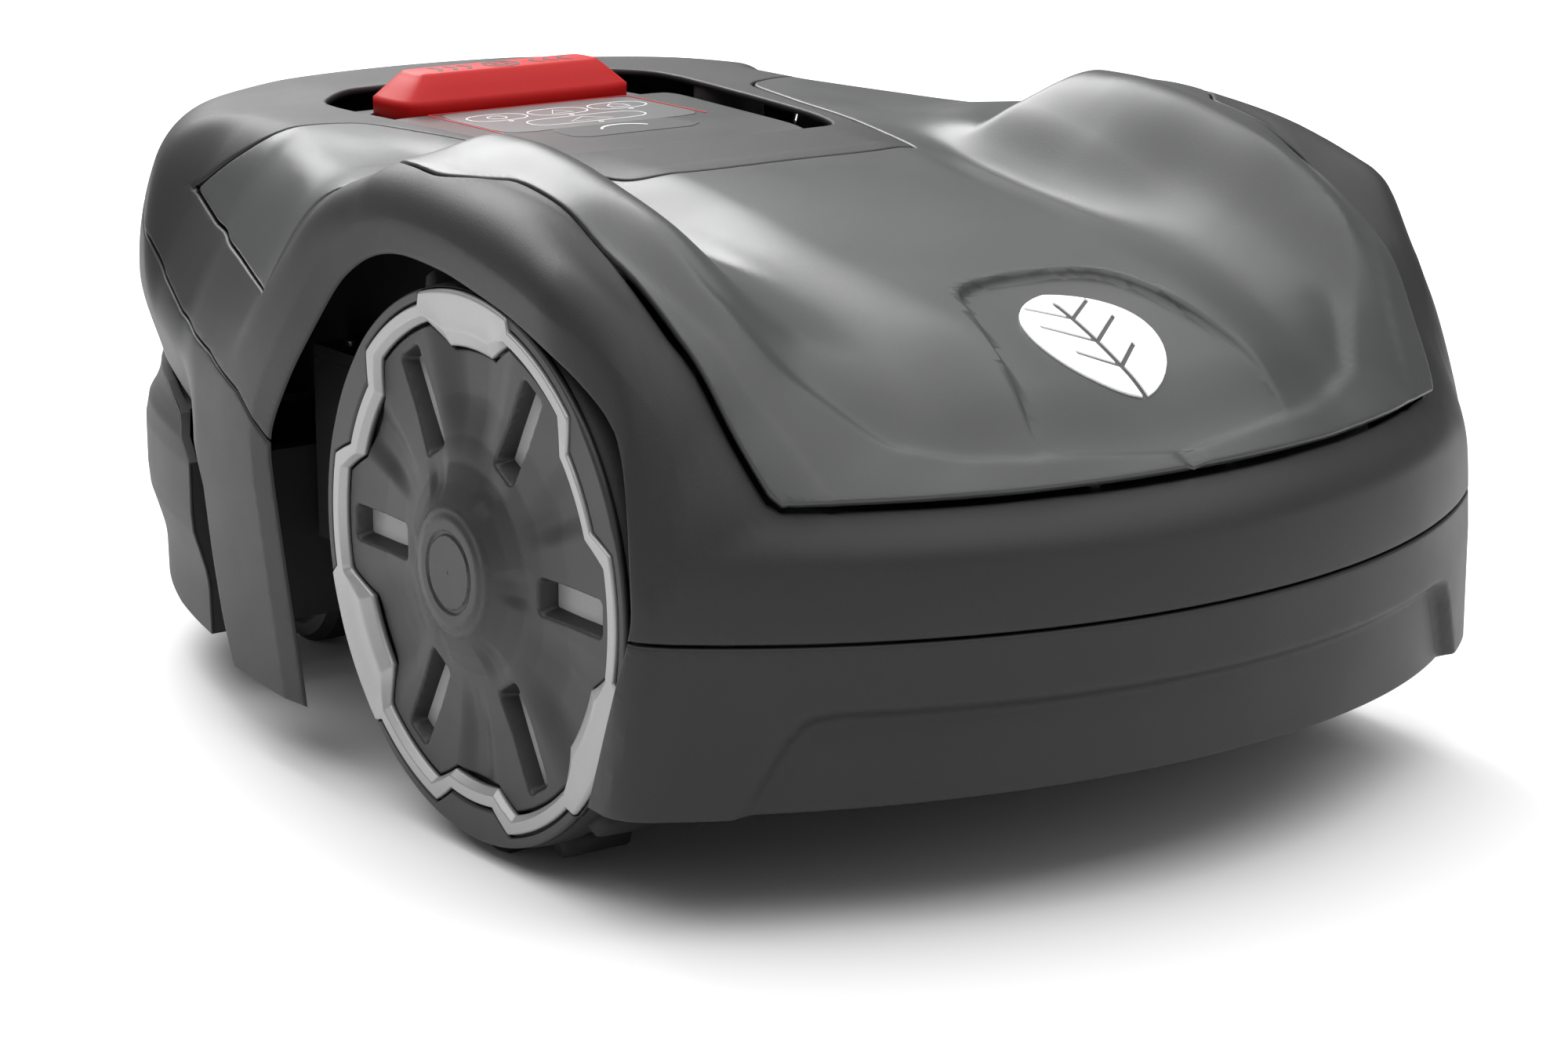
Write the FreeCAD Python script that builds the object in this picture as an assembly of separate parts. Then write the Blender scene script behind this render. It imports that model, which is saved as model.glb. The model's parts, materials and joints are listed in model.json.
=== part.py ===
import FreeCAD, Part
import math
import os

os.makedirs("parts", exist_ok=True)

# Robotic lawn mower. Millimetres, +Z up, origin on the ground under the middle of the body.
# The castor end faces -Y, the drive wheels are at +Y, and the machine is symmetric about X = 0.

# ---- driving dimensions -------------------------------------------------------------------
BODY_LENGTH = 570.0
HALF_LENGTH = BODY_LENGTH / 2
HALF_WIDTH = 192.5            # outer face of the fenders
SKIN = 2.6                    # wall of the moulded shells
SKIRT_BOTTOM = 26.0           # lowest edge of the moulded shell
SEAM_GAP = 0.6                # open line between neighbouring panels

REAR_RADIUS = 285.0           # plan radius of the rear end
FRONT_RADIUS = 260.0          # plan radius of the nose
FLANK_RADIUS = 560.0          # plan radius of the front flanks
REAR_SEAM_Z = 102.0           # joint line between upper shell and rear bumper
HOOD_LIP_Z = 147.0            # underside of the hood's rear lip

WHEEL_Y = 107.0
WHEEL_Z = 104.0               # axle height, equal to the radius over the lugs
WHEEL_LUG_RADIUS = 104.0
TYRE_RADIUS = 98.5
RIM_RADIUS = 86.0
WHEEL_INNER_X = 140.0
LUG_COUNT = 18

CASTOR_X = 95.0
CASTOR_Y = -183.0
CASTOR_RADIUS = 32.0
CASTOR_TRAIL = 16.0
CASTOR_WIDTH = 20.0
CASTOR_WELL_RADIUS = 50.0
CASTOR_WELL_TOP = 74.0

CASTOR_BUSH_RADIUS = 7.0
CASTOR_STEM_RADIUS = 5.0
CONTACT_X = 22.0              # charging contacts, each side of the centre line

CUTTER_Y = 2.0                # centre of the cutting system
BLADE_Z = 20.0                # cutting height at rest, the lowest of its 30 mm of travel
DISC_RADIUS = 68.0
BLADE_PIVOT = 60.0            # blade screws' distance from the disc's centre
KNOB_Y = -86.0

TUB_BOTTOM = 62.0
TUB_TOP = 134.0
TUB_HALF_WIDTH = 128.0
WALL = 3.0
SEAL = 1.5
TUCK = 10.0                    # how far the front wall tucks in above the chassis nose
NOSE_BACK = -107.0
NOSE_LEDGE = 112.0
HATCH_FACE = TUB_BOTTOM - 3
HEAD_DEPTH = 1.7
HATCH_SCREWS = [(-48.8, 157), (48.8, 157), (-48.8, 229), (48.8, 229)]

STOP_Y = -168.5
STOP_TRAVEL = 4.0
RUNNING_CLEARANCE = 0.05

V = FreeCAD.Vector
X_AXIS = V(1, 0, 0)
Z_AXIS = V(0, 0, 1)


# ---- small modelling helpers --------------------------------------------------------------
def box(x0, x1, y0, y1, z0, z1):
    return Part.makeBox(x1 - x0, y1 - y0, z1 - z0, V(x0, y0, z0))


def rod(radius, start, end):
    run = end - start
    return Part.makeCylinder(radius, run.Length, start, run)


def ring(outer, inner, start, end):
    return rod(outer, start, end).cut(rod(inner, start, end))


def turned(profile, centre, axis):
    """Revolve a closed profile of (radius, height) points about an axis."""
    points = [V(r, 0, h) for r, h in profile]
    face = Part.Face(Part.makePolygon(points + points[:1]))
    solid = face.revolve(V(0, 0, 0), Z_AXIS, 360)
    solid.Placement = FreeCAD.Placement(centre, FreeCAD.Rotation(Z_AXIS, axis))
    return solid


def flat_wire(points, z):
    corners = [V(x, y, z) for x, y in points]
    return Part.makePolygon(corners + corners[:1])


def prism(points, z0, z1):
    return Part.Face(flat_wire(points, z0)).extrude(V(0, 0, z1 - z0))


def side_prism(points, x0, x1):
    """Extrude an outline of (y, z) points along X."""
    corners = [V(x0, y, z) for y, z in points]
    return Part.Face(Part.makePolygon(corners + corners[:1])).extrude(V(x1 - x0, 0, 0))


def grown(points, distance):
    """Plan outline offset outwards, or inwards when distance is negative."""
    area = sum(a[0] * b[1] - b[0] * a[1] for a, b in zip(points, points[1:] + points[:1]))
    side = distance if area > 0 else -distance
    result = []
    for k, (x, y) in enumerate(points):
        before = V(x - points[k - 1][0], y - points[k - 1][1], 0)
        after = V(points[(k + 1) % len(points)][0] - x, points[(k + 1) % len(points)][1] - y, 0)
        before.normalize()
        after.normalize()
        bisector = V(before.y + after.y, -before.x - after.x, 0)
        bisector.normalize()
        miter = side / max(bisector.dot(V(after.y, -after.x, 0)), 0.5)
        result.append((x + bisector.x * miter, y + bisector.y * miter))
    return result


def both_sides(half):
    """Complete an outline given for x >= 0, from the centre line to the centre line."""
    left = [(-x, y) for x, y in reversed(half) if x > 0]
    return half + left


def mirrored(shape):
    return shape.mirror(V(0, 0, 0), X_AXIS)


def pair(shape):
    return [shape, mirrored(shape)]


def join(shapes):
    solid = shapes[0]
    for other in shapes[1:]:
        solid = solid.fuse(other)
    return solid.removeSplitter()


def save(name, shapes):
    if not isinstance(shapes, list):
        shapes = [shapes]
    solids = []
    for shape in shapes:
        solids += shape.Solids
    if not solids:
        raise ValueError("no solid in " + name)
    solid = solids[0] if len(solids) == 1 else Part.makeCompound(solids)
    solid.exportStep("parts/" + name + ".step")
    volume = sum(s.Volume for s in solids)
    print(name, len(solids), round(volume), all(s.isValid() for s in solids))


# ---- the shell surface --------------------------------------------------------------------
# Long lines of the top surface, each at one distance from the centre line: (y, height).
TOP_LINES = [
    (0.0, [(-290, 222), (-240, 228), (-200, 230), (-150, 227), (-100, 223), (-40, 221), (36, 219),
           (83, 214), (130, 205), (175, 197), (205, 188), (235, 172), (258, 154), (275, 147), (292, 145)]),
    (50.0, [(-290, 221), (-240, 227), (-200, 229), (-150, 226), (-100, 223), (-40, 221), (36, 218.5),
            (83, 212.5), (130, 204), (175, 197), (205, 190), (235, 175), (256, 157), (270, 148), (292, 145)]),
    (85.0, [(-290, 217), (-240, 223), (-200, 226), (-150, 225), (-100, 224), (-48, 222), (0, 217),
            (36, 212), (83, 205), (126, 200), (175, 193), (205, 184), (232, 168), (250, 153), (263, 148),
            (292, 144)]),
    (110.0, [(-290, 216), (-240, 222), (-200, 226), (-150, 226), (-100, 223.5), (-48, 219), (-20, 220),
             (10, 226), (36, 231), (83, 224), (126, 211), (160, 203), (190, 193), (215, 178), (237, 158),
             (256, 148), (292, 142)]),
    (138.0, [(-290, 212), (-240, 218), (-200, 222), (-150, 222), (-100, 221), (-48, 219), (-22, 224),
             (0, 232), (22, 240), (45, 243), (70, 243), (95, 240.5), (123, 235), (156, 226), (185, 210),
             (205, 190), (222, 168), (243, 148), (292, 138)]),
    (158.0, [(-290, 209), (-200, 218), (-100, 221), (-40, 218), (0, 229), (25, 236), (60, 239), (98, 235),
             (125, 230), (152, 218), (170, 209), (187, 199), (206, 184), (215, 172), (225, 160), (237, 149),
             (292, 130)]),
    (190.0, [(-290, 203), (-100, 217), (-40, 214), (0, 222), (30, 231), (60, 233), (90, 231), (119, 227),
             (167, 217), (190, 200), (200, 180), (208, 148), (216, 120), (292, 100)]),
]
# Crease of the side scoop in front of each fender: (y, distance from the centre line).
SCOOP_CREASE = [(-230, 175), (-190, 150), (-157, 131), (-126, 132), (-103, 139), (-47, 157), (-10, 174),
                (30, 192)]
SCOOP_TOP = 220.0
SCOOP_SLOPE = 1.6
# Front slope of the fender arch: (y, height), and its inner edge: (y, distance from the centre line).
ARCH_SLOPE = [(-90, 120), (-60, 160), (-47, 174), (-15, 203), (-1, 216), (17, 226), (40, 232), (70, 233)]
ARCH_EDGE = [(-90, 194), (-47, 186), (-15, 178), (10, 169), (30, 163)]
ARCH_SIDE_SLOPE = 2.5


def slopes(points):
    """Monotone cubic slopes at the points of a line."""
    widths = [b[0] - a[0] for a, b in zip(points, points[1:])]
    rises = [(b[1] - a[1]) / w for a, b, w in zip(points, points[1:], widths)]
    result = [rises[0]]
    for k in range(1, len(rises)):
        before = rises[k - 1]
        after = rises[k]
        if before * after <= 0:
            result.append(0.0)
        else:
            w1 = 2 * widths[k] + widths[k - 1]
            w2 = widths[k] + 2 * widths[k - 1]
            result.append((w1 + w2) / (w1 / before + w2 / after))
    result.append(rises[-1])
    return result


def line_value(points, tangents, t):
    """Height of a smooth line at t, held constant past its ends."""
    if t <= points[0][0]:
        return points[0][1]
    if t >= points[-1][0]:
        return points[-1][1]
    k = 0
    while points[k + 1][0] < t:
        k += 1
    width = points[k + 1][0] - points[k][0]
    s = (t - points[k][0]) / width
    a = points[k][1]
    b = points[k + 1][1]
    ma = tangents[k] * width
    mb = tangents[k + 1] * width
    start = (2 * s**3 - 3 * s**2 + 1) * a + (s**3 - 2 * s**2 + s) * ma
    return start + (3 * s**2 - 2 * s**3) * b + (s**3 - s**2) * mb


class Line:
    def __init__(self, points):
        self.points = points
        self.tangents = slopes(points)

    def at(self, t):
        return line_value(self.points, self.tangents, t)


TOP_CURVES = [(x, Line(points)) for x, points in TOP_LINES]
SCOOP_CREASE_LINE = Line(SCOOP_CREASE)
ARCH_SLOPE_LINE = Line(ARCH_SLOPE)
ARCH_EDGE_LINE = Line(ARCH_EDGE)


def smooth_max(a, b, blend):
    overlap = max(blend - abs(a - b), 0.0) / blend
    return max(a, b) + overlap * overlap * blend / 4


def smooth_min(a, b, blend):
    return -smooth_max(-a, -b, blend)


def ramp(low, high, value):
    t = min(max((value - low) / (high - low), 0.0), 1.0)
    return t * t * (3 - 2 * t)


def top_height(x, y):
    """Height of the body's top surface over a plan point."""
    x = abs(x)
    samples = [(-TOP_CURVES[1][0], TOP_CURVES[1][1].at(y))]
    samples += [(station, curve.at(y)) for station, curve in TOP_CURVES]
    base = line_value(samples, slopes(samples), x)
    crease = SCOOP_CREASE_LINE.at(y)
    scoop = SCOOP_TOP + 2 - SCOOP_SLOPE * smooth_max(x - crease, 0.0, 14)
    top = smooth_min(base, scoop + 30 * ramp(20, 60, y), 6)
    arch = ARCH_SLOPE_LINE.at(y) - ARCH_SIDE_SLOPE * smooth_max(ARCH_EDGE_LINE.at(y) - x, 0.0, 6)
    return smooth_max(top, smooth_min(arch, base, 6), 5)


def plan_distance(x, y):
    """Signed distance outside the body's plan outline."""
    x = abs(x)
    rear = math.hypot(x, y - (HALF_LENGTH - REAR_RADIUS)) - REAR_RADIUS
    nose = math.hypot(x, y + (HALF_LENGTH - FRONT_RADIUS)) - FRONT_RADIUS
    if y < 0:
        flank = math.hypot(x - (HALF_WIDTH - FLANK_RADIUS), y) - FLANK_RADIUS
    else:
        flank = x - HALF_WIDTH
    if y > 0:
        return smooth_max(rear, flank, 8)
    return smooth_max(nose, flank, 40)


def wall_inset(y, z):
    """How far the wall leans in at a height."""
    front = 0.0042 * max(z - 158, 0.0)**2
    middle = 0.00033 * max(z - REAR_SEAM_Z, 0.0)**2
    rear = 0.003 * max(z - REAR_SEAM_Z, 0.0)**2
    w_front = 1 - ramp(-70, -20, y)
    w_rear = ramp(160, 215, y)
    tuck = TUCK * (1 - ramp(112, 158, z)) * (1 - ramp(-135, -95, y))
    return front * w_front + rear * w_rear + middle * (1 - w_front - w_rear) + tuck


def body_value(x, y, z):
    """Negative inside the body, positive outside."""
    wall = plan_distance(x, y) + wall_inset(y, z)
    roof = 0.9 * (z - top_height(x, y))
    return smooth_max(wall, roof, 18)


def crossing(origin, direction, reach):
    """First point outside the body along a ray that starts inside it."""
    low = 0.0
    high = reach
    for _ in range(22):
        middle = (low + high) / 2
        p = origin + direction * middle
        if body_value(p.x, p.y, p.z) < 0:
            low = middle
        else:
            high = middle
    return origin + direction * low


CROWN_CENTRE = V(0, -60, 0)
CROWN_RING = 12.0
GUIDE_INSET = 40.0
GUIDE_DROP = 55.0
AROUND = 120
ALONG_TOP = 22
ALONG_BEND = 10
ALONG_WALL = 9


def guide_radius(angle):
    low = 0.0
    high = 400.0
    for _ in range(30):
        middle = (low + high) / 2
        x = middle * math.cos(angle)
        y = CROWN_CENTRE.y + middle * math.sin(angle)
        if plan_distance(x, y) < -GUIDE_INSET:
            low = middle
        else:
            high = middle
    return low


def meridian(angle):
    """Points of the body's surface from the crown ring down to the skirt's edge."""
    outward = V(math.cos(angle), math.sin(angle), 0)
    reach = guide_radius(angle)
    points = []
    for k in range(ALONG_TOP):
        r = CROWN_RING + (reach - CROWN_RING) * k / ALONG_TOP
        foot = CROWN_CENTRE + outward * r
        points.append(V(foot.x, foot.y, top_height(foot.x, foot.y)))
    edge = CROWN_CENTRE + outward * reach
    pivot = V(edge.x, edge.y, top_height(edge.x, edge.y) - GUIDE_DROP)
    for k in range(ALONG_BEND):
        tilt = math.pi / 2 * (1 - k / ALONG_BEND)
        points.append(crossing(pivot, outward * math.cos(tilt) + Z_AXIS * math.sin(tilt), 160))
    for k in range(ALONG_WALL + 1):
        z = pivot.z + (SKIRT_BOTTOM - pivot.z) * k / ALONG_WALL
        points.append(crossing(V(edge.x, edge.y, z), outward, 160))
    return points


def inward(points, i, j, distance):
    """Grid point moved inwards along the surface normal."""
    rows = len(points)
    around = points[(i + 1) % rows][j] - points[(i - 1) % rows][j]
    down = points[i][min(j + 1, len(points[i]) - 1)] - points[i][max(j - 1, 0)]
    normal = down.cross(around)
    normal.normalize()
    if j == len(points[i]) - 1:
        normal.z = 0
        normal.normalize()
    return points[i][j] - normal * distance


def grid_face(rows):
    surface = Part.BSplineSurface()
    surface.interpolate(rows + rows[:1])
    return surface.toShape()


def body_shell(offset, thickness):
    """Closed solid between the body's surface moved in by offset and a second one below it."""
    rows = [meridian(2 * math.pi * i / AROUND - math.pi / 2) for i in range(AROUND)]
    outer_rows = rows
    if offset:
        outer_rows = [[inward(rows, i, j, offset) for j in range(len(rows[i]))] for i in range(AROUND)]
    depth = offset + thickness
    inner_rows = [[inward(rows, i, j, depth) for j in range(len(rows[i]))] for i in range(AROUND)]
    outer = grid_face(outer_rows)
    inner = grid_face(inner_rows)

    def rim(face, wanted):
        closed = [e for e in face.Edges if (e.Vertexes[0].Point - e.Vertexes[-1].Point).Length < 1e-3]
        return sorted(closed, key=lambda e: abs(e.CenterOfMass.z - wanted))[0]

    top_z = outer_rows[0][0].z
    top = Part.makeRuledSurface(rim(outer, top_z), rim(inner, top_z))
    foot = Part.makeRuledSurface(rim(outer, SKIRT_BOTTOM), rim(inner, SKIRT_BOTTOM))
    shell = Part.makeShell([outer, inner, top, foot])
    shell.sewShape()
    solid = Part.makeSolid(shell)
    if solid.Volume < 0:
        solid.reverse()
    return solid



def body_core(offset):
    """Solid of everything inside the body's surface moved in by offset."""
    rows = [meridian(2 * math.pi * i / AROUND - math.pi / 2) for i in range(AROUND)]
    inner_rows = [[inward(rows, i, j, offset) for j in range(len(rows[i]))] for i in range(AROUND)]
    face = grid_face(inner_rows)
    closed = [e for e in face.Edges if (e.Vertexes[0].Point - e.Vertexes[-1].Point).Length < 1e-3]
    rims = [edge for edge in closed if edge.CenterOfMass.z > 180 or edge.CenterOfMass.z < 40]
    caps = [Part.makeFilledFace([edge]) for edge in rims]
    shell = Part.makeShell([face] + caps)
    shell.sewShape()
    solid = Part.makeSolid(shell)
    if solid.Volume < 0:
        solid.reverse()
    return solid


# ---- outlines -----------------------------------------------------------------------------
def plan_inset(distance):
    """Plan outline of the body moved inwards, as points around the machine."""
    points = []
    for k in range(72):
        angle = 2 * math.pi * k / 72
        low = 0.0
        high = 400.0
        for _ in range(26):
            middle = (low + high) / 2
            if plan_distance(middle * math.cos(angle), middle * math.sin(angle)) < -distance:
                low = middle
            else:
                high = middle
        points.append((low * math.cos(angle), low * math.sin(angle)))
    return points


HOOD_HALF = [(0, 275), (34, 273), (68, 267), (101, 258), (133, 245), (144, 240), (150, 230), (157, 200),
             (158, 98),
             (162, 93), (175, 76), (174, 60), (169, 22), (170, 10), (178, -15), (186, -36), (205, -46),
             (205, -176), (156, -176), (146, -158), (130, -129), (106, -127), (92, -120), (81, -66),
             (76, -20), (70, 24), (62, 33),
             (39, 38), (0, 38)]
# Lower edge of the hood ahead of the wheels, seen from the side: (y, z).
HOOD_SIDE = [(-300, 300), (-300, 215), (-176, 200), (-160, 195), (-146, 190.7), (-132, 186.6),
             (-112, 183.7), (-86, 182.2),
             (-63, 180.3), (-34, 178), (-31, 140), (300, 140), (300, 300)]
OPENING_HALF = [(0, -18), (60, -18), (67, -26), (71, -44), (82, -158), (80, -178), (54, -204), (0, -204)]
# Wheel arch and the two lower bands, seen from the side: (y, z).
ARCH = [(-2, 10), (-5, 29), (-30, 125), (-10, 153), (20, 187), (29, 195), (45, 204), (65, 208), (96, 206),
        (136, 198), (152, 193), (170, 187), (194.4, 168), (205.6, 141.2), (212, 107.4), (188, 44),
        (178, 20), (175, 10)]
BAND_SEAM = [(-29, 124), (-51, 138.5), (-81, 147.5), (-106, 150), (-129, 153.5), (-156, 163), (-174, 174),
             (-200, 184),
             (-300, 197)]
BAND_EDGE = [(-300, 132), (-169, 122), (-137, 116), (-100, 105), (-91, 93), (-83, 67), (-74, 45), (-64, 28),
             (-2, 27)]
BUMPER_BOTTOM = 42.0
NOSE_TOP = [(-109, 98), (-137, 111), (-169, 117), (-300, 126)]
NOSE_BOTTOM = [(-300, 70), (-262, 48), (-225, 34), (-158, 28), (-118, 28), (-109, 28)]
# How far the front moulding stands inside the plan outline: (z, inset).
NOSE_WALL = [(20, 7.5), (50, 7.0), (60, 4.3), (70, 1.2), (78, 0.5), (97, 0.5), (105, 2.0), (112, 6.5),
             (140, 10)]


# ---- floating shell -----------------------------------------------------------------------
def make_shell():
    """Upper shell, hood, front bumper and rear bumper, cut from one moulded skin."""
    skin = body_shell(0.0, SKIN)
    for arch in pair(side_prism(ARCH, WHEEL_INNER_X - 3, HALF_WIDTH + 20)):
        skin = skin.cut(arch)
    front_bumper = skin.common(side_prism(BAND_SEAM + BAND_EDGE, -250, 250))
    rear_bumper = skin.common(box(-250, 250, 120, 300, BUMPER_BOTTOM, REAR_SEAM_Z - SEAM_GAP))
    hood = skin.common(prism(both_sides(HOOD_HALF), HOOD_LIP_Z, 400)).common(side_prism(HOOD_SIDE, -250, 250))

    below = [(y, z + SEAM_GAP) for y, z in BAND_SEAM] + [(-300, 0), (5, 0), (5, 20)]
    upper = skin.cut(side_prism(below, -250, 250))
    upper = upper.cut(box(-250, 250, 100, 300, 0, REAR_SEAM_Z))
    upper = upper.cut(prism(both_sides(OPENING_HALF), 150, 400))
    hood_room = prism(grown(both_sides(HOOD_HALF), SEAM_GAP), HOOD_LIP_Z - SEAM_GAP, 400)
    upper = upper.cut(hood_room.common(side_prism([(y, z - SEAM_GAP) for y, z in HOOD_SIDE], -250, 250)))
    save("main_shell", upper)
    save("hood_panel", hood)
    save("front_bumper", front_bumper)
    save("rear_bumper", rear_bumper)


POST_SPOTS = [(96, -140), (-96, -140), (104, 196), (-104, 196)]
POST_RADIUS = 7.0
SOCKET_RADIUS = 13.0
COVER_FRONT_TOP = 186.0
COVER_MIDDLE_TOP = 168.0
COVER_REAR_TOP = 140.0


def make_float_mounts():
    """Four lift posts that carry the shell, and the sockets under the shell around them."""
    core = body_core(SKIN - 0.3)
    posts = []
    sockets = []
    bellows = []
    for x, y in POST_SPOTS:
        base = COVER_FRONT_TOP if y < 0 else COVER_REAR_TOP
        roof = top_height(x, y)
        head = base + 22 if y < 0 else base + 30
        post = rod(POST_RADIUS, V(x, y, base + 0.4), V(x, y, head))
        foot = rod(POST_RADIUS + 2, V(x, y, base + 0.4), V(x, y, base + 3))
        posts.append(join([post, foot]))
        low = head - 12
        tube = ring(SOCKET_RADIUS + 2, SOCKET_RADIUS, V(x, y, low), V(x, y, roof + 20))
        sockets.append(tube.common(core))
        bellows.append(turned([(POST_RADIUS + 3, 0), (POST_RADIUS + 9, 0), (POST_RADIUS + 9, 2),
                               (POST_RADIUS + 5, 4), (POST_RADIUS + 7, 6), (POST_RADIUS + 3, 8)],
                               V(x, y, base), Z_AXIS))
    save("float_posts", posts)
    save("shell_sockets", sockets)
    save("post_bellows", bellows)


BADGE_CENTRE_Y = 216.0
BADGE_LENGTH = 62.0
BADGE_WIDTH = 50.0


def make_badge():
    """Plain leaf-shaped plate on the hood's rear slope."""
    tilt = math.atan2(top_height(0, BADGE_CENTRE_Y - 20) - top_height(0, BADGE_CENTRE_Y + 20), 40)
    radius = (BADGE_LENGTH**2 + BADGE_WIDTH**2) / (4 * BADGE_WIDTH)
    shift = radius - BADGE_WIDTH / 2
    leaf = rod(radius, V(shift, 0, 0), V(shift, 0, 1.2)).common(rod(radius, V(-shift, 0, 0),
                                                            V(-shift, 0, 1.2)))
    leaf.rotate(V(0, 0, 0), X_AXIS, -math.degrees(tilt))
    leaf.translate(V(0, BADGE_CENTRE_Y, top_height(0, BADGE_CENTRE_Y) + 0.9))
    save("hood_badge", leaf)


# ---- chassis ------------------------------------------------------------------------------
TUB_FRONT = -104.0
TUB_HALF = [(0, 268), (70, 258), (108, 240), (TUB_HALF_WIDTH - 6, 224), (TUB_HALF_WIDTH, 212),
            (TUB_HALF_WIDTH, TUB_FRONT), (0, TUB_FRONT)]
FLANGE = 7.0
CARRIAGE_RADIUS = 37.0
CARRIAGE_BORE = 38.5
MOTOR_RADIUS = 24.0
MOTOR_CAN_RADIUS = 17.0
MOTOR_INNER_X = 34.0
BOARD_Z = 120.0
KNOB_STEM = 5.0
AXLE_RADIUS = 6.0
BATTERY = (-62.0, 62.0, 150.0, 236.0, 66.0, 112.0)
NOSE_BACK_Y = -109.0
NOSE_SKIN = 3.5


def boss(x, y, z0, z1, outer, inner):
    return ring(outer, inner, V(x, y, z0), V(x, y, z1))


SCREW_SPOTS = [(118, -92), (118, 40), (118, 150), (100, 226), (30, 252)]


def all_screw_spots():
    return SCREW_SPOTS + [(-x, y) for x, y in SCREW_SPOTS]


def motor_cradle(side):
    """Saddle under one drive motor, moulded with the tub."""
    inner = min(side * 40, side * 60)
    block = box(inner, inner + 20, WHEEL_Y - 20, WHEEL_Y + 20, TUB_BOTTOM + 1, WHEEL_Z - 6)
    return block.cut(rod(MOTOR_CAN_RADIUS, V(side * 30, WHEEL_Y, WHEEL_Z), V(side * 90, WHEEL_Y, WHEEL_Z)))


def make_chassis():
    outline = both_sides(TUB_HALF)
    tub = prism(outline, TUB_BOTTOM, TUB_TOP)
    tub = tub.cut(prism(grown(outline, -WALL), TUB_BOTTOM + WALL, TUB_TOP + 1))
    guard = ring(104, 101, V(0, CUTTER_Y, 40), V(0, CUTTER_Y, TUB_BOTTOM))
    guard = guard.common(box(-110, 110, CUTTER_Y - 30, CUTTER_Y + 110, 30, 70))
    sleeve = ring(CARRIAGE_BORE + 3, CARRIAGE_BORE, V(0, CUTTER_Y, TUB_BOTTOM),
                  V(0, CUTTER_Y, TUB_BOTTOM + 26))
    bosses = [boss(x, y, TUB_BOTTOM + WALL - 1, TUB_TOP, 5, 1.6) for x, y in all_screw_spots()]
    tub = join([tub, guard, sleeve] + bosses)
    tub = tub.cut(rod(CARRIAGE_BORE, V(0, CUTTER_Y, 0), V(0, CUTTER_Y, TUB_BOTTOM + 27)))
    for side in (-1, 1):
        wall = side * (TUB_HALF_WIDTH - WALL - 1)
        out = side * (TUB_HALF_WIDTH + 1)
        tub = tub.cut(rod(MOTOR_RADIUS + 0.2, V(wall, WHEEL_Y, WHEEL_Z), V(out, WHEEL_Y, WHEEL_Z)))
    tub = tub.cut(box(-46, 46, 160, 226, TUB_BOTTOM - 1, TUB_BOTTOM + WALL + 1))
    legs = [rod(3, V(x, y, TUB_BOTTOM + 1), V(x, y, BOARD_Z)) for x in (-64, 64) for y in (-88, -54)]
    tub = join([tub] + legs + [motor_cradle(side) for side in (-1, 1)])
    tub = tub.cut(rod(KNOB_STEM + 0.4, V(0, KNOB_Y, 50), V(0, KNOB_Y, 80)))
    for x, y in HATCH_SCREWS:
        tub = tub.cut(rod(1.4, V(x, y, TUB_BOTTOM - 1), V(x, y, TUB_BOTTOM + 2)))
    save("chassis_tub", tub)

    lid = prism([(-52, 154), (52, 154), (52, 232), (-52, 232)], HATCH_FACE, TUB_BOTTOM)
    lid = lid.fuse(prism([(-45.6, 160.4), (45.6, 160.4), (45.6, 225.6), (-45.6, 225.6)], TUB_BOTTOM,
                         TUB_BOTTOM + 3))
    for x, y in HATCH_SCREWS:
        lid = lid.cut(rod(1.6, V(x, y, 0), V(x, y, 80)))
        lid = lid.cut(rod(2.7, V(x, y, HATCH_FACE - 1), V(x, y, HATCH_FACE + HEAD_DEPTH)))
    save("battery_hatch", lid.removeSplitter())

    plate = prism(outline, TUB_TOP + SEAL, COVER_REAR_TOP)
    middle = prism(both_sides([(0, 148), (112, 148), (112, NOSE_BACK), (0, NOSE_BACK)]), TUB_TOP + SEAL,
                   COVER_MIDDLE_TOP)
    nose_half = [(0, 58), (112, 58), (112, -196), (86, -232), (0, -246)]
    nose = prism(both_sides(nose_half), TUB_TOP + SEAL, COVER_FRONT_TOP)
    collar = prism(both_sides([(0, NOSE_BACK - 0.3)] + [(112, NOSE_BACK - 0.3)] + nose_half[2:]),
                   NOSE_LEDGE, TUB_TOP + 2)
    cover = join([plate, middle, nose, collar])
    cover = cover.cut(prism(grown(outline, -FLANGE - WALL), TUB_TOP, COVER_REAR_TOP - WALL))
    cover = cover.cut(prism(both_sides([(0, 145), (109, 145), (109, -98), (0, -98)]), TUB_TOP,
                            COVER_MIDDLE_TOP - WALL))
    hollow = prism(both_sides([(0, 55), (109, 55), (109, -194), (84, -229), (0, -243)]), TUB_TOP,
                   COVER_FRONT_TOP - WALL)
    cover = cover.cut(hollow)
    front_hollow = hollow.common(box(-200, 200, -300, NOSE_BACK - WALL, 0, 400))
    cover = cover.cut(front_hollow.translated(V(0, 0, NOSE_LEDGE - TUB_TOP)))
    for x, y in all_screw_spots():
        cover = cover.cut(rod(1.7, V(x, y, TUB_TOP), V(x, y, COVER_FRONT_TOP + 1)))
    save("chassis_cover", cover)

    seal = prism(outline, TUB_TOP, TUB_TOP + SEAL).cut(prism(grown(outline, -WALL), TUB_TOP - 1, TUB_TOP + 3))
    for x, y in all_screw_spots():
        seal = seal.cut(rod(5.5, V(x, y, TUB_TOP - 1), V(x, y, TUB_TOP + 3)))
    save("chassis_seal", seal)

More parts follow.
